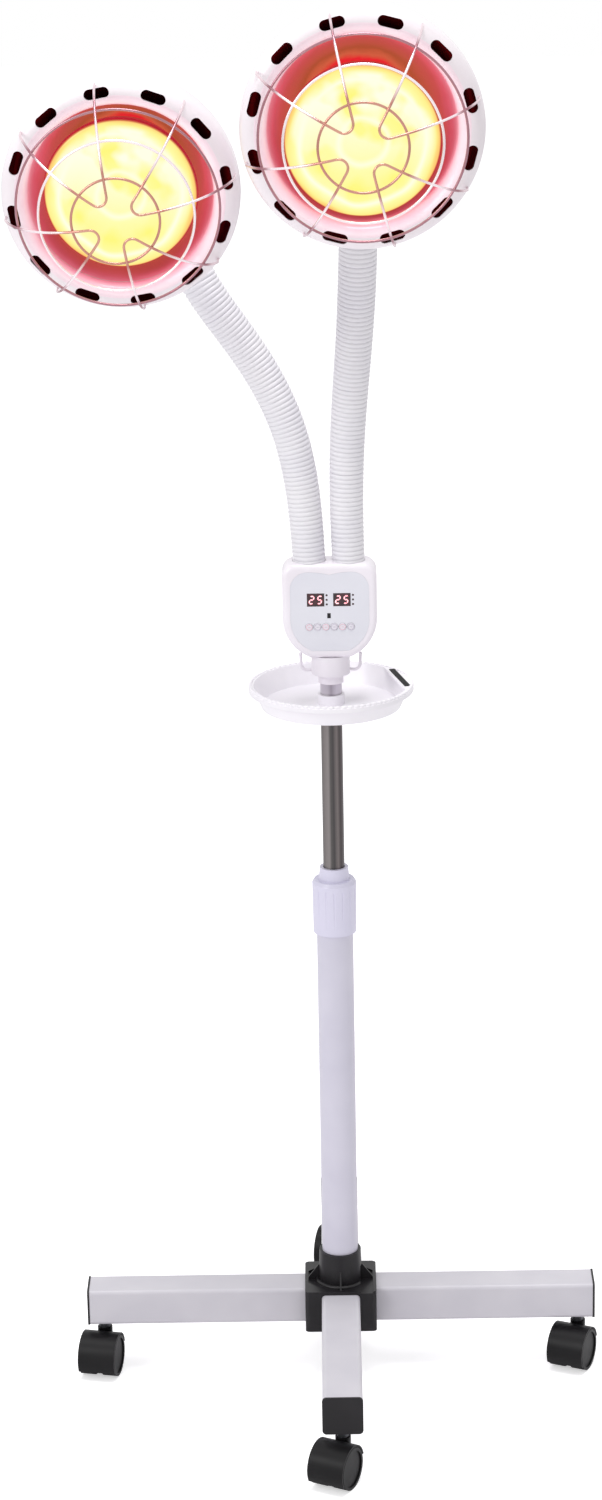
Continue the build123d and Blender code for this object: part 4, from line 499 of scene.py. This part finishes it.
def hood_enamel_painted_light(side):
    """White enamel, with the bulb's light painted on the bowl as colour and emission by depth, distance
    from the axis and facing, and near-black shade painted behind the flange.
    """
    material, tree, shader = new_material(f"hood_enamel_painted_light_{side}", Roughness=0.3, Coat_Weight=0.3)
    local = split_point(tree, local_coordinates(tree, head_frame(side)))
    distance = from_axis(tree, local)
    depth = rescaled(tree, local["Z"], (0, -GLOW_DEPTH))
    uneven = maths(tree, "MULTIPLY_ADD", pattern(tree, 30, detail=3), 0.12, -0.06)
    blurred = maths(tree, "ADD", depth, uneven)
    # painted light: the mouth's lower edge gets more of the painted glow, so it is pinker than its upper
    # one
    inside = rescaled(tree, distance, MOUTH_RADII)
    below = rescaled(tree, local["Y"], MOUTH_HEIGHTS, (0, MOUTH_EXTRA_GLOW))
    blurred = maths(tree, "ADD", blurred, maths(tree, "MULTIPLY", inside, below))
    # painted light: the bulb's glow on the bowl, from pale pink at the mouth to red near the bulb
    glow = colour_steps(
        tree, blurred,
        (0.00, "#FBE6EF"), (0.06, "#F9D8E4"), (0.12, "#F5C6D6"), (0.21, "#EFAAC0"), (0.32, "#E4869E"),
        (0.43, "#D66A7A"), (0.54, "#C9605E"), (0.66, "#BE6450"), (0.73, "#B0623E"), (0.79, "#D07450"),
        (0.835, "#E8303A"), (1.00, "#E0202E"),
    )
    normal = add_node(tree, "TexCoord").outputs["Normal"]
    facing = dot_product(tree, normal, tuple(head_frame(side)[1][2]))
    looks_out = maths(tree, "GREATER_THAN", facing, FACING_LEAST)
    within = maths(tree, "LESS_THAN", distance, GLOW_RADIUS)
    lit = maths(tree, "MULTIPLY", looks_out, within)
    shell = two_tones(tree, PATCH_MM, "#EFE7EC", "#F3ECF0")
    bowl = mix_colours(tree, lit, shell, glow)
    painted_shade_mask = behind_flange(tree, side, local, distance)
    # painted shade: the walls behind the flange are painted near-black
    colour = mix_colours(tree, painted_shade_mask, bowl, linear("#210509"))
    tree.links.new(colour, shader.inputs["Base Color"])
    tree.links.new(bowl, shader.inputs["Emission Color"])
    # painted glow: emission on the bowl stands in for the bulb's light
    painted_emission = rescaled(tree, distance, PAINTED_GLOW_RADII, (0, PAINTED_GLOW_EMISSION))
    seen = maths(tree, "SUBTRACT", lit, painted_shade_mask, use_clamp=True)
    tree.links.new(maths(tree, "MULTIPLY", painted_emission, seen), shader.inputs["Emission Strength"])
    return material


for side in HEADS:
    for node_name in (f"hood_{side}", f"rear_cap_{side}"):
        NODES[node_name].material_slots[0].material = hood_enamel_painted_light(side)
print("hoods finished")

# %% [markdown]
# ## Bulbs
#
# A heat lamp's bulb is pressed glass, ruby at its sides. Lit, its face burns out to yellow and white,
# brightest in two rings, and soft white patches in its upper part are painted highlights. The face is
# a ramp over the distance from the bulb's axis, with a wavering noise mixed in.

# %% Bulb glass
BULB_RADIUS = 81 * MM
WAVER = (0.16, -0.08)        # the noise's factor and shift, as shares of the radius
# painted highlights: the next four values shape the white patches painted on the bulb's upper face
UPPER_HEIGHTS = (-30 * MM, 40 * MM)    # the patches grow between these heights
UPPER_LEAST = 0.2
PATCH_NOISE = (0.40, 0.52)   # the noise's values between which a patch grows
PATCH_SHARES = (0.93, 0.86)  # and the shares of the radius
RUBY_SHARES = (0.965, 0.99)  # the face turns ruby between these shares of the radius
RUBY_Z = (-15 * MM, -19 * MM)          # and between these places along the axis
RUBY_STRENGTH = 0.16         # the ruby glass's light, where the face's is 1


def lit_glass(side):
    """Glowing pressed glass: a ramp over the distance from the axis, with painted white highlights in its
    upper part.
    """
    material, tree, shader = new_material(
        f"lit_bulb_glass_{side}", Roughness=0.2, Specular_IOR_Level=0.3, IOR=1.47
    )
    coordinates = local_coordinates(tree, bulb_frame(side))
    local = split_point(tree, coordinates)
    share = maths(tree, "MULTIPLY", from_axis(tree, local), 1 / BULB_RADIUS)
    moved = maths(tree, "MULTIPLY_ADD", pattern(tree, 55, detail=1.0, place=coordinates), *WAVER)
    rings = colour_steps(
        tree, maths(tree, "ADD", share, moved),
        (0.00, "#FFFA92"), (0.24, "#FFF88E"), (0.31, "#FFFDD8"), (0.37, "#FFFA98"), (0.60, "#FFF67C"),
        (0.74, "#FFF99C"), (0.80, "#FFFEE2"), (0.86, "#FFFAA4"), (0.93, "#FFF08C"), (0.975, "#FDCB70"),
    )
    # painted highlights: soft white patches, stronger towards the top of the face
    upper = rescaled(tree, local["Y"], UPPER_HEIGHTS, (UPPER_LEAST, 1))
    patches = rescaled(tree, pattern(tree, 46, place=coordinates), PATCH_NOISE)
    painted_highlight = maths(tree, "MULTIPLY", upper, patches)
    painted_highlight = maths(tree, "MULTIPLY", painted_highlight, rescaled(tree, share, PATCH_SHARES))
    face = mix_colours(tree, painted_highlight, rings, linear("#FFFEE6"))
    ruby = maths(
        tree, "MAXIMUM", rescaled(tree, share, RUBY_SHARES), rescaled(tree, local["Z"], RUBY_Z)
    )
    colour = mix_colours(tree, ruby, face, linear("#D6243A"))
    tree.links.new(colour, shader.inputs["Emission Color"])
    glass = mix_colours(tree, ruby, linear("#0A0602"), linear("#A81424"))
    tree.links.new(glass, shader.inputs["Base Color"])
    strength = rescaled(tree, ruby, (0, 1), (1, RUBY_STRENGTH))
    tree.links.new(strength, shader.inputs["Emission Strength"])
    return material


for side in HEADS:
    NODES[f"bulb_{side}"].material_slots[0].material = lit_glass(side)
print("bulbs lit")

# %% [markdown]
# ## Wire guards
#
# The guard is a cage of 2.7 mm wire: four wires, each bent into a U near the centre, whose two ends turn
# down into the flange, and three rings welded on inside them. In the plan of the head's face each wire
# is two straight runs and an arc. Its height is the guard's dome: an arc whose centre lies off the axis.

# %% Wire guards
WIRE_RADIUS = 1.35 * MM
DOME_RADIUS = 106.4 * MM
DOME_OFFSET = 20.4 * MM      # axis to the centre of the dome's arc
DOME_DEPTH = 27.5 * MM       # crown to the centre of the dome's arc
RING_RADII = (107 * MM, 81.5 * MM, 46 * MM)
RING_WELD = 2 * MM           # between the middles of a ring and a wire that cross
FOOT_RADIUS = 122 * MM
FOOT_DEPTH = 12 * MM
FOOT_SPREAD = np.radians(22.5)         # half the angle between a wire's two feet
BEND_RADIUS = 9 * MM
BEND_CENTRE = 31 * MM        # axis to the centre of a wire's inner bend
WIRE_COUNT = 4
FIRST_WIRE = 37.5            # degrees, the first wire's direction
WIRE_SIDES = 12
WIRE_STEP = 1.5 * MM
WIRE_SOFTENING = 2           # neighbours each way that a bend is averaged over
BEND_SAMPLES = 25
RUN_SAMPLES = 60
RING_SAMPLES = 160
PAINTED_WIRE_LIGHT_RADIUS = 130 * MM   # axis to where the ramp along a wire ends


def dome_height(distance):
    """Height over the crown at a distance from the axis: a circle's arc, moved out and down."""
    return np.sqrt(DOME_RADIUS**2 - (distance - DOME_OFFSET) ** 2) - DOME_DEPTH


def even_path(corners, spacing):
    """Points a fixed spacing apart along straight runs between corners."""
    lengths = np.concatenate([[0], np.cumsum(np.linalg.norm(np.diff(corners, axis=0), axis=1))])
    distance = np.linspace(0, lengths[-1], int(lengths[-1] / spacing) + 1)
    return np.stack([np.interp(distance, lengths, corners[:, axis]) for axis in range(3)], axis=1)


def softened(path, reach):
    """A path averaged over a few neighbours each way, its ends kept: this rounds its sharp bends."""
    padded = np.pad(path, ((reach, reach), (0, 0)), mode="reflect", reflect_type="odd")
    weights = np.hanning(2 * reach + 3)[1:-1]
    weights /= weights.sum()
    return np.stack([np.convolve(padded[:, axis], weights, "valid") for axis in range(3)], axis=1)


def guard_wire(angle):
    """One wire in the head's frame: foot, run over the dome, inner bend, run back, foot."""
    foot = FOOT_RADIUS * np.array([np.cos(FOOT_SPREAD), np.sin(FOOT_SPREAD)])
    to_centre = np.hypot(foot[0] - BEND_CENTRE, foot[1])
    slope = np.arctan2(foot[1], foot[0] - BEND_CENTRE) - np.arcsin(BEND_RADIUS / to_centre)
    turn = np.linspace(slope + np.pi / 2, 3 * np.pi / 2 - slope, BEND_SAMPLES)
    bend = np.stack([BEND_CENTRE + BEND_RADIUS * np.cos(turn), BEND_RADIUS * np.sin(turn)], axis=1)
    run = foot + (bend[0] - foot) * np.linspace(0, 1, RUN_SAMPLES)[:, None]
    plan = np.concatenate([run, bend[1:-1], run[::-1] * [1, -1]])
    heights = dome_height(np.linalg.norm(plan, axis=1))
    points = np.column_stack([plan, heights])
    down = np.array([[0, 0, -FOOT_DEPTH - heights[0]]])
    points = np.concatenate([points[:1] + down, points, points[-1:] + down])
    cosine, sine = np.cos(np.radians(angle)), np.sin(np.radians(angle))
    spin = np.array([[cosine, sine, 0], [-sine, cosine, 0], [0, 0, 1]])
    return softened(even_path(points, WIRE_STEP), WIRE_SOFTENING) @ spin


def guard_ring(radius):
    """A ring welded under the wires: drawn in towards the centre of the dome's arc."""
    share = 1 - RING_WELD / DOME_RADIUS
    ring_radius = DOME_OFFSET + (radius - DOME_OFFSET) * share
    height = (dome_height(radius) + DOME_DEPTH) * share - DOME_DEPTH
    angle = np.linspace(0, 2 * np.pi, RING_SAMPLES, endpoint=False)
    return np.stack(
        [ring_radius * np.cos(angle), ring_radius * np.sin(angle), np.full_like(angle, height)], axis=1
    )


GUARD_CENTRE = np.array([0, 0, -0.06])  # the tubes' sections turn away from here
guard_tubes = [
    tube(guard_wire(FIRST_WIRE + 360 / WIRE_COUNT * number), WIRE_RADIUS, WIRE_SIDES, GUARD_CENTRE)
    for number in range(WIRE_COUNT)
]
guard_tubes += [
    tube(guard_ring(radius), WIRE_RADIUS, WIRE_SIDES, GUARD_CENTRE, closed=True) for radius in RING_RADII
]


def wire_with_painted_light(side):
    """Nickel-plated wire with the bulb's light painted on: rosy before the glass, a darker band over the
    outer ring, and bright towards the rim.
    """
    material, tree, shader = new_material(f"nickel_wire_painted_light_{side}", Metallic=0.75, Roughness=0.2)
    local = split_point(tree, local_coordinates(tree, head_frame(side)))
    away = rescaled(tree, from_axis(tree, local), (0, PAINTED_WIRE_LIGHT_RADIUS))
    patchy = maths(tree, "MULTIPLY_ADD", pattern(tree, 40), 0.1, -0.05)
    # painted light from the bulb: rosy over the glass, near white at its edge, darker over the outer ring,
    # light over the flange
    tone = colour_steps(
        tree, maths(tree, "ADD", away, patchy),
        (0.00, "#DDA88E"), (0.30, "#D39C8A"), (0.40, "#C08478"), (0.48, "#E4C4C0"), (0.60, "#FAEFF2"),
        (0.74, "#F7E4EA"), (0.79, "#B98A94"), (0.84, "#9E6C76"), (0.90, "#E8D2D8"), (1.00, "#EEE2E6"),
    )
    tree.links.new(tone, shader.inputs["Base Color"])
    return material


for side in HEADS:
    grids = [place(grid, head_frame(side)) for grid in guard_tubes]
    guard = make_piece(f"guard_{side}", grids, wire_with_painted_light(side))
    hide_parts(f"wire_guard_{side}")
    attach(guard, f"arm_{side}_5")
    print(guard.name, len(guard.data.polygons), "faces")

# %% [markdown]
# ## Ribbed sleeves
#
# Each arm is a bending metal core inside a corrugated plastic sleeve. The sleeve is a tube whose radius
# swells and narrows every 5.3 mm. Its middle line is a smooth curve through the arm's joints, which ends
# in a bend into the back of the head. The sleeve is cut into five lengths: in the middle of each of the
# three stiff links between the joints, and at the last joint.

# %% Middle lines of the arms
ARM_JOINTS = {
    "right": ((21.0, 0.0, 1072.0), (23.8, -4.0, 1170.0), (31.7, -17.0, 1269.0), (37.0, -38.0, 1367.0)),
    "left": ((-26.3, 0.0, 1072.0), (-44.3, -2.0, 1170.0), (-93.0, -4.0, 1267.0), (-143.0, -6.0, 1345.0)),
}
ARM_FEET = {"right": (22.3, 0.0, 1006.0), "left": (-22.3, 0.0, 1006.0)}
ELBOW_RADIUS = 66 * MM
ENTRY_DEPTH = 187 * MM       # crown to where the sleeve ends inside the cap
RIB_PITCH = 5.3 * MM
RIB_SAMPLES = 8
RIB_STEP = RIB_PITCH / RIB_SAMPLES     # between two samples of a middle line
SPLINE_SAMPLES = 4000


def through_points(knots, spacing):
    """A natural cubic spline through knots, sampled at an even spacing.

    The parameter is the distance along the straight runs. The second derivatives at the knots come from
    the usual linear system, in which the slopes on both sides of each knot agree.
    """
    step = np.linalg.norm(np.diff(knots, axis=0), axis=1)
    at = np.concatenate([[0], np.cumsum(step)])
    count = len(knots)
    system = np.eye(count)
    inner = np.arange(1, count - 1)
    system[inner, inner - 1] = step[:-1]
    system[inner, inner] = 2 * (step[:-1] + step[1:])
    system[inner, inner + 1] = step[1:]
    right = np.zeros_like(knots)
    slopes = np.diff(knots, axis=0) / step[:, None]
    right[1:-1] = 6 * np.diff(slopes, axis=0)
    curve = np.linalg.solve(system, right)
    fine = np.linspace(0, at[-1], SPLINE_SAMPLES)
    piece = np.clip(np.searchsorted(at, fine, side="right") - 1, 0, count - 2)
    width = step[piece][:, None]
    ahead = (fine - at[piece])[:, None]
    left = width - ahead
    line = (
        curve[piece] * left**3 / (6 * width)
        + curve[piece + 1] * ahead**3 / (6 * width)
        + (knots[piece] / width - curve[piece] * width / 6) * left
        + (knots[piece + 1] / width - curve[piece + 1] * width / 6) * ahead
    )
    return even_path(line, spacing)


def elbow_knots(side):
    """The bend behind the head: start, middle and end of a circle's arc, then the end in the cap."""
    origin, axes = head_frame(side)
    corner = origin - axes[2] * (CAP_DEPTH + HEADS[side]["elbow"] * MM)
    rise = unit(corner - np.array(ARM_JOINTS[side][-1]) * MM)
    half_turn = np.arccos(np.dot(rise, axes[2])) / 2
    reach = ELBOW_RADIUS * np.tan(half_turn)
    inward = unit(axes[2] - rise)
    middle = corner + inward * ELBOW_RADIUS * (1 / np.cos(half_turn) - 1)
    return [corner - rise * reach, middle, corner + axes[2] * reach, origin - axes[2] * ENTRY_DEPTH]


arm_lines = {}
for side in HEADS:
    knots = [np.array(point) * MM for point in (ARM_FEET[side], *ARM_JOINTS[side])] + elbow_knots(side)
    arm_lines[side] = through_points(np.array(knots), RIB_STEP)
    print(f"{side} arm {len(arm_lines[side]) * RIB_STEP:.3f} m")

# %% [markdown]
# The rib is a half wave raised to a low power, so that it is round on its back with a narrow groove
# between ribs, as on a vacuum hose. The grooves are 1.7 mm deep. The three lower lengths, each over the
# joint in its middle, are left in the lamp's frame and attached to no body. The two upper ones are rigid
# and meet at the last joint, where the elbow's end is tucked into the length below it. That joint turns
# by up to 12 degrees, and at the arm's outer limit the tucked end cuts into the length below.

# %% Ribbed sleeves
SLEEVE_LOW = 18.8 * MM
SLEEVE_HIGH = 21.6 * MM
SLEEVE_FULL_AT = 340 * MM
GROOVE_DEPTH = 1.7 * MM
SLEEVE_SIDES = 48
TUCK = 1.7 * MM              # how much narrower a sleeve's end is inside the one below it
TUCK_RIBS = 2
RIB_ROUNDNESS = 0.55         # the power of the half wave
BLENDED_LENGTHS = 3
FAR_LEFT = np.array([-40.0, 0, 0])     # the first normal of each section points away from here


def sleeve(line, first, last, tucked=0):
    """The sleeve's grid between two samples of its middle line: radius less the groove's depth."""
    number = np.arange(first - tucked, last + 1)
    distance = number * RIB_STEP
    widening = np.clip(distance / SLEEVE_FULL_AT, 0, 1)
    outer = SLEEVE_LOW + (SLEEVE_HIGH - SLEEVE_LOW) * widening - TUCK * (number < first)
    rib = np.abs(np.sin(np.pi * number / RIB_SAMPLES)) ** RIB_ROUNDNESS
    radius = outer - GROOVE_DEPTH * (1 - rib)
    return tube(line[first - tucked : last + 1], radius, SLEEVE_SIDES, FAR_LEFT)


for side, line in arm_lines.items():
    joints = np.array(ARM_JOINTS[side]) * MM
    near = [int(np.argmin(np.linalg.norm(line - joint, axis=1))) for joint in joints]
    cuts = [(low + high) // 2 // RIB_SAMPLES * RIB_SAMPLES for low, high in zip(near, near[1:])]
    top = near[-1] // RIB_SAMPLES * RIB_SAMPLES
    cuts = [0, *cuts, top, len(line) - 1]
    bodies = ["mast", *[f"arm_{side}_{number}" for number in range(2, 6)]]
    for number, body in enumerate(bodies):
        tucked = TUCK_RIBS * RIB_SAMPLES if body == bodies[-1] else 0
        grid = sleeve(line, cuts[number], cuts[number + 1], tucked)
        piece = make_piece(f"sleeve_{side}_{number + 1}", [grid], sleeve_pe)
        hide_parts(f"hose_{side}_{number + 1}")
        if number < BLENDED_LENGTHS:
            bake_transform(piece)
        else:
            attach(piece, body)
    print(side, "sleeve cut at", cuts)

# %% [markdown]
# ## Displays and keys
#
# Each display shows two seven-segment digits. A segment is a thin hexagonal plate, and a digit is the
# set of segments that its number lights. The plates lie a little proud of the dark red window, lean by
# eight degrees, and glow pink-white as overexposed red light does.

# %% Digits
DISPLAY_X = (-16 * MM, 14 * MM)
DISPLAY_Z = 972.5 * MM
DISPLAY_FACE = -21.9 * MM
DIGIT_PITCH = 9.2 * MM
SEGMENT = 4.3 * MM           # length of a segment
SEGMENT_HALF = 0.75 * MM     # half its width
SEGMENT_GAP = 0.25 * MM      # left free at each of its ends
SEGMENT_THICKNESS = 0.12 * MM
DIGIT_LEAN = np.tan(np.radians(8))
# each segment: middle, in segment lengths, and whether it stands upright
SEGMENTS = {
    "top": (0, 1, False), "upper_left": (-0.5, 0.5, True), "upper_right": (0.5, 0.5, True),
    "middle": (0, 0, False), "lower_left": (-0.5, -0.5, True), "lower_right": (0.5, -0.5, True),
    "bottom": (0, -1, False),
}
LIT = {
    "2": ("top", "upper_right", "middle", "lower_left", "bottom"),
    "5": ("top", "upper_left", "middle", "lower_right", "bottom"),
}


def plate(outline, front, back):
    """A flat plate between two depths, with an outline of (x, z) points: centre, rim, rim, centre."""
    closed = np.concatenate([outline, outline[:1]])
    centre = np.broadcast_to(outline.mean(axis=0), closed.shape)
    rows = []
    for ring, depth in ((centre, back), (closed, back), (closed, front), (centre, front)):
        rows.append(np.stack([ring[:, 0], np.full(len(ring), depth), ring[:, 1]], axis=1))
    return np.stack(rows)


def digit_plates(symbol, centre_x):
    """The lit segments of one digit as plates."""
    half = SEGMENT / 2 - SEGMENT_GAP
    hexagon = np.array([
        (-half, 0), (-half + SEGMENT_HALF, SEGMENT_HALF), (half - SEGMENT_HALF, SEGMENT_HALF),
        (half, 0), (half - SEGMENT_HALF, -SEGMENT_HALF), (-half + SEGMENT_HALF, -SEGMENT_HALF),
    ])
    plates = []
    for name in LIT[symbol]:
        x, z, upright = SEGMENTS[name]
        outline = (hexagon[:, ::-1] if upright else hexagon) + np.array([x, z]) * SEGMENT
        outline[:, 0] += outline[:, 1] * DIGIT_LEAN
        outline += np.array([centre_x, DISPLAY_Z])
        plates.append(plate(outline, DISPLAY_FACE - SEGMENT_THICKNESS, DISPLAY_FACE))
    return plates


digit_glow, tree, shader = new_material("lit_segments", Roughness=0.4, Emission_Strength=1.0)
segment_tone = colour_steps(tree, pattern(tree, 1.5), (0.35, "#FF8E9C"), (0.6, "#FFC3C8"))
tree.links.new(segment_tone, shader.inputs["Base Color"])
tree.links.new(segment_tone, shader.inputs["Emission Color"])

grids = []
for centre in DISPLAY_X:
    for offset, symbol in ((-0.5, "2"), (0.5, "5")):
        grids += digit_plates(symbol, centre + offset * DIGIT_PITCH)
digits = make_piece("display_digits", grids, digit_glow, smooth=False)
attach(digits, "mast")
print("digits made of", len(grids), "segments")

# %% [markdown]
# Around each key runs a thin printed ring, pink and grey by turns, with a short dash inside it. The ring
# is a torus pressed half into the key's face, so that it follows the key when it is pushed.

# %% Key rings
BUTTON_PITCH = 9.5 * MM
BUTTON_Z = 940.5 * MM
BUTTON_FACE = -22.9 * MM
RING_RADIUS = 3.3 * MM
PRINT_RADIUS = 0.22 * MM
PRINT_SIDES = 8
RING_POINTS = 40
DASH_HALF = 1.3              # mm
DASH_POINTS = 8
KEY_COUNT = 6

ink = {
    "pink": mould("pink_ink", "#E7A3B4", "#EBB0BF", 0.5, 0.5, 0.005),
    "grey": mould("grey_ink", "#A9A2B6", "#B4AEC0", 0.5, 0.5, 0.005),
}
for number in range(KEY_COUNT):
    centre = np.array([(number - (KEY_COUNT - 1) / 2) * BUTTON_PITCH, BUTTON_FACE, BUTTON_Z])
    angle = np.linspace(0, 2 * np.pi, RING_POINTS, endpoint=False)
    circle = centre + RING_RADIUS * np.stack([np.cos(angle), 0 * angle, np.sin(angle)], axis=1)
    dash = centre + np.linspace(-DASH_HALF, DASH_HALF, DASH_POINTS)[:, None] * MM * np.array([1, 0, 0])
    grids = [
        tube(circle, PRINT_RADIUS, PRINT_SIDES, centre, closed=True),
        tube(dash, PRINT_RADIUS, PRINT_SIDES, centre + np.array([0, 0, 1])),
    ]
    colour = "pink" if number % 2 == 0 else "grey"
    ring = make_piece(f"key_ring_{number + 1}", grids, ink[colour])
    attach(ring, f"button_{number + 1}")
print(KEY_COUNT, "key rings")

# %% [markdown]
# ## Tray rim
#
# Along the tray's rim runs a beaded edge. It is a ring whose section swells eighty times round.

# %% Beaded rim
BEAD_COUNT = 80
TRAY_BEAD_RADIUS = 93.2 * MM
TRAY_BEAD_Z = 865.6 * MM
BEAD_SAMPLES = 8
BEAD_SIDES = 12
BEAD_LEAST = 0.7             # mm, the section's radius between two beads
BEAD_SWELLING = 1.5          # mm, how much more it is in a bead's middle
BEAD_ROUNDNESS = 0.8

angle = np.linspace(0, 2 * np.pi, BEAD_COUNT * BEAD_SAMPLES, endpoint=False)
around = TRAY_BEAD_RADIUS * np.cos(angle), TRAY_BEAD_RADIUS * np.sin(angle)
rim_line = np.stack([*around, np.full_like(angle, TRAY_BEAD_Z)], axis=1)
swelling = (BEAD_LEAST + BEAD_SWELLING * np.abs(np.cos(angle * BEAD_COUNT / 2)) ** BEAD_ROUNDNESS) * MM
rim_tube = tube(rim_line, swelling, BEAD_SIDES, np.array([0, 0, TRAY_BEAD_Z]), closed=True)
beads = make_piece("tray_beads", [rim_tube], tray_abs)
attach(beads, "tray")
print("beaded rim", len(beads.data.polygons), "faces")

# %% [markdown]
# ## Display window
#
# The windows over the displays are dark red acrylic. Light from the digits spreads in it, so it glows
# faintly.

# %% Display window
window_acrylic, tree, shader = new_material(
    "dark_red_acrylic", Roughness=0.12, Coat_Weight=0.4, Emission_Strength=0.35
)
window_tone = two_tones(tree, 5, "#1A060B", "#3A0A14")
tree.links.new(window_tone, shader.inputs["Base Color"])
tree.links.new(window_tone, shader.inputs["Emission Color"])
print("display window ready")

# %% [markdown]
# ## Finish for every carried-over node
#
# A node takes the finish of its own name, or else of its material slot. Hoods, rear caps and bulbs have
# theirs already, and the arms' links and the guards are replaced by the pieces above.

# %% Assign the finishes
FINISHES = {
    "white_painted_steel": powder_coat, "hub_casting": black_cast, "polished_tube": drawn_steel_painted_reflection,
    "zinc_fasteners": zinc, "black_nylon": black_nylon, "white_plastic": white_abs,
    "natural_acetal": acetal, "panel_film": panel_film, "display_glass": window_acrylic,
    "circuit_laminate": laminate, "button_rubber": key_cap, "gland_nylon": black_nylon,
    "bulb_screw_base": lamp_cap, "holder_ceramic": porcelain,
}
BY_NODE = {
    "outer_tube": post_coat, "locking_collar": collar_abs, "tray": tray_abs, "tray_strip": strip_rubber,
    "sensor_window": black_nylon,
}
for side in ("right", "rear", "left", "front"):
    BY_NODE[f"castor_fork_{side}"] = castor_nylon
    BY_NODE[f"castor_wheels_{side}"] = castor_nylon
for part in frame["record"]["subparts"]:
    finish = BY_NODE.get(part["node"]) or FINISHES.get(part["material_slot"])
    if finish:
        NODES[part["node"]].material_slots[0].material = finish
print("finishes assigned")

# %% [markdown]
# ## Floor, backdrop and light
#
# The floor is pale and the world is an even white, as in a photographer's light tent. Rays from the
# camera, mirrors and glass see pure white, while the light that falls on the lamp is turned down so that
# colours come out as they are written. Two soft lamps shape the round pieces.

# %% Floor
FLOOR_HALF = 12              # half the floor's side
FLOOR_LIGHT = 0.50           # what the camera sees the floor add to its own colour

floor_material, tree, shader = new_material("studio_floor", Roughness=0.9, Specular_IOR_Level=0.1)
floor_tone = colour_steps(tree, pattern(tree, 400), (0.4, "#F4F3F5"), (0.6, "#F7F6F8"))
tree.links.new(floor_tone, shader.inputs["Base Color"])
floor_mesh = bpy.data.meshes.new("studio_floor")
floor_corners = [(x * FLOOR_HALF, y * FLOOR_HALF, 0) for x, y in ((-1, -1), (1, -1), (1, 1), (-1, 1))]
floor_mesh.from_pydata(floor_corners, [], [(0, 1, 2, 3)])
floor_mesh.materials.append(floor_material)
floor = bpy.data.objects.new("studio_floor", floor_mesh)
bpy.context.collection.objects.link(floor)

ray = add_node(tree, "LightPath").outputs["Is Camera Ray"]
lift = add_node(tree, "Emission", {"Color": (1, 1, 1, 1), "Strength": FLOOR_LIGHT})
lifted = add_node(tree, "AddShader", {0: shader.outputs[0], 1: lift.outputs[0]})
seen = add_node(tree, "MixShader", {0: ray, 1: shader.outputs[0], 2: lifted.outputs[0]})
tree.links.new(seen.outputs[0], tree.nodes["Material Output"].inputs["Surface"])
print("floor laid")

# %% World and lamps
WORLD_LIGHT = 0.62           # the light that falls on the lamp, where directly seen white is 1
world = bpy.data.worlds.new("light_tent")
bpy.context.scene.world = world
world.use_nodes = True
tree = world.node_tree
ray = add_node(tree, "LightPath").outputs
seen_directly = maths(tree, "MAXIMUM", ray["Is Camera Ray"], ray["Is Transmission Ray"])
mirrored = maths(tree, "MAXIMUM", seen_directly, ray["Is Glossy Ray"])
background = tree.nodes["Background"]
background.inputs["Color"].default_value = (1, 1, 1, 1)
strength = rescaled(tree, mirrored, (0, 1), (WORLD_LIGHT, 1))
tree.links.new(strength, background.inputs["Strength"])


def soft_lamp(name, location, target, size, power):
    """A square area lamp that looks at a target."""
    data = bpy.data.lights.new(name, "AREA")
    data.size = size
    data.energy = power
    lamp = bpy.data.objects.new(name, data)
    lamp.location = location
    lamp.rotation_euler = (Vector(target) - Vector(location)).to_track_quat("-Z", "Y").to_euler()
    bpy.context.collection.objects.link(lamp)


soft_lamp("key_lamp", (-3.0, -2.8, 3.0), (0, 0, 0.9), 1.8, 50)
soft_lamp("top_lamp", (0.0, -1.0, 8.0), (0, 0, 0.8), 3.0, 300)
bpy.context.scene.view_settings.view_transform = "Standard"
print("world and lamps set")
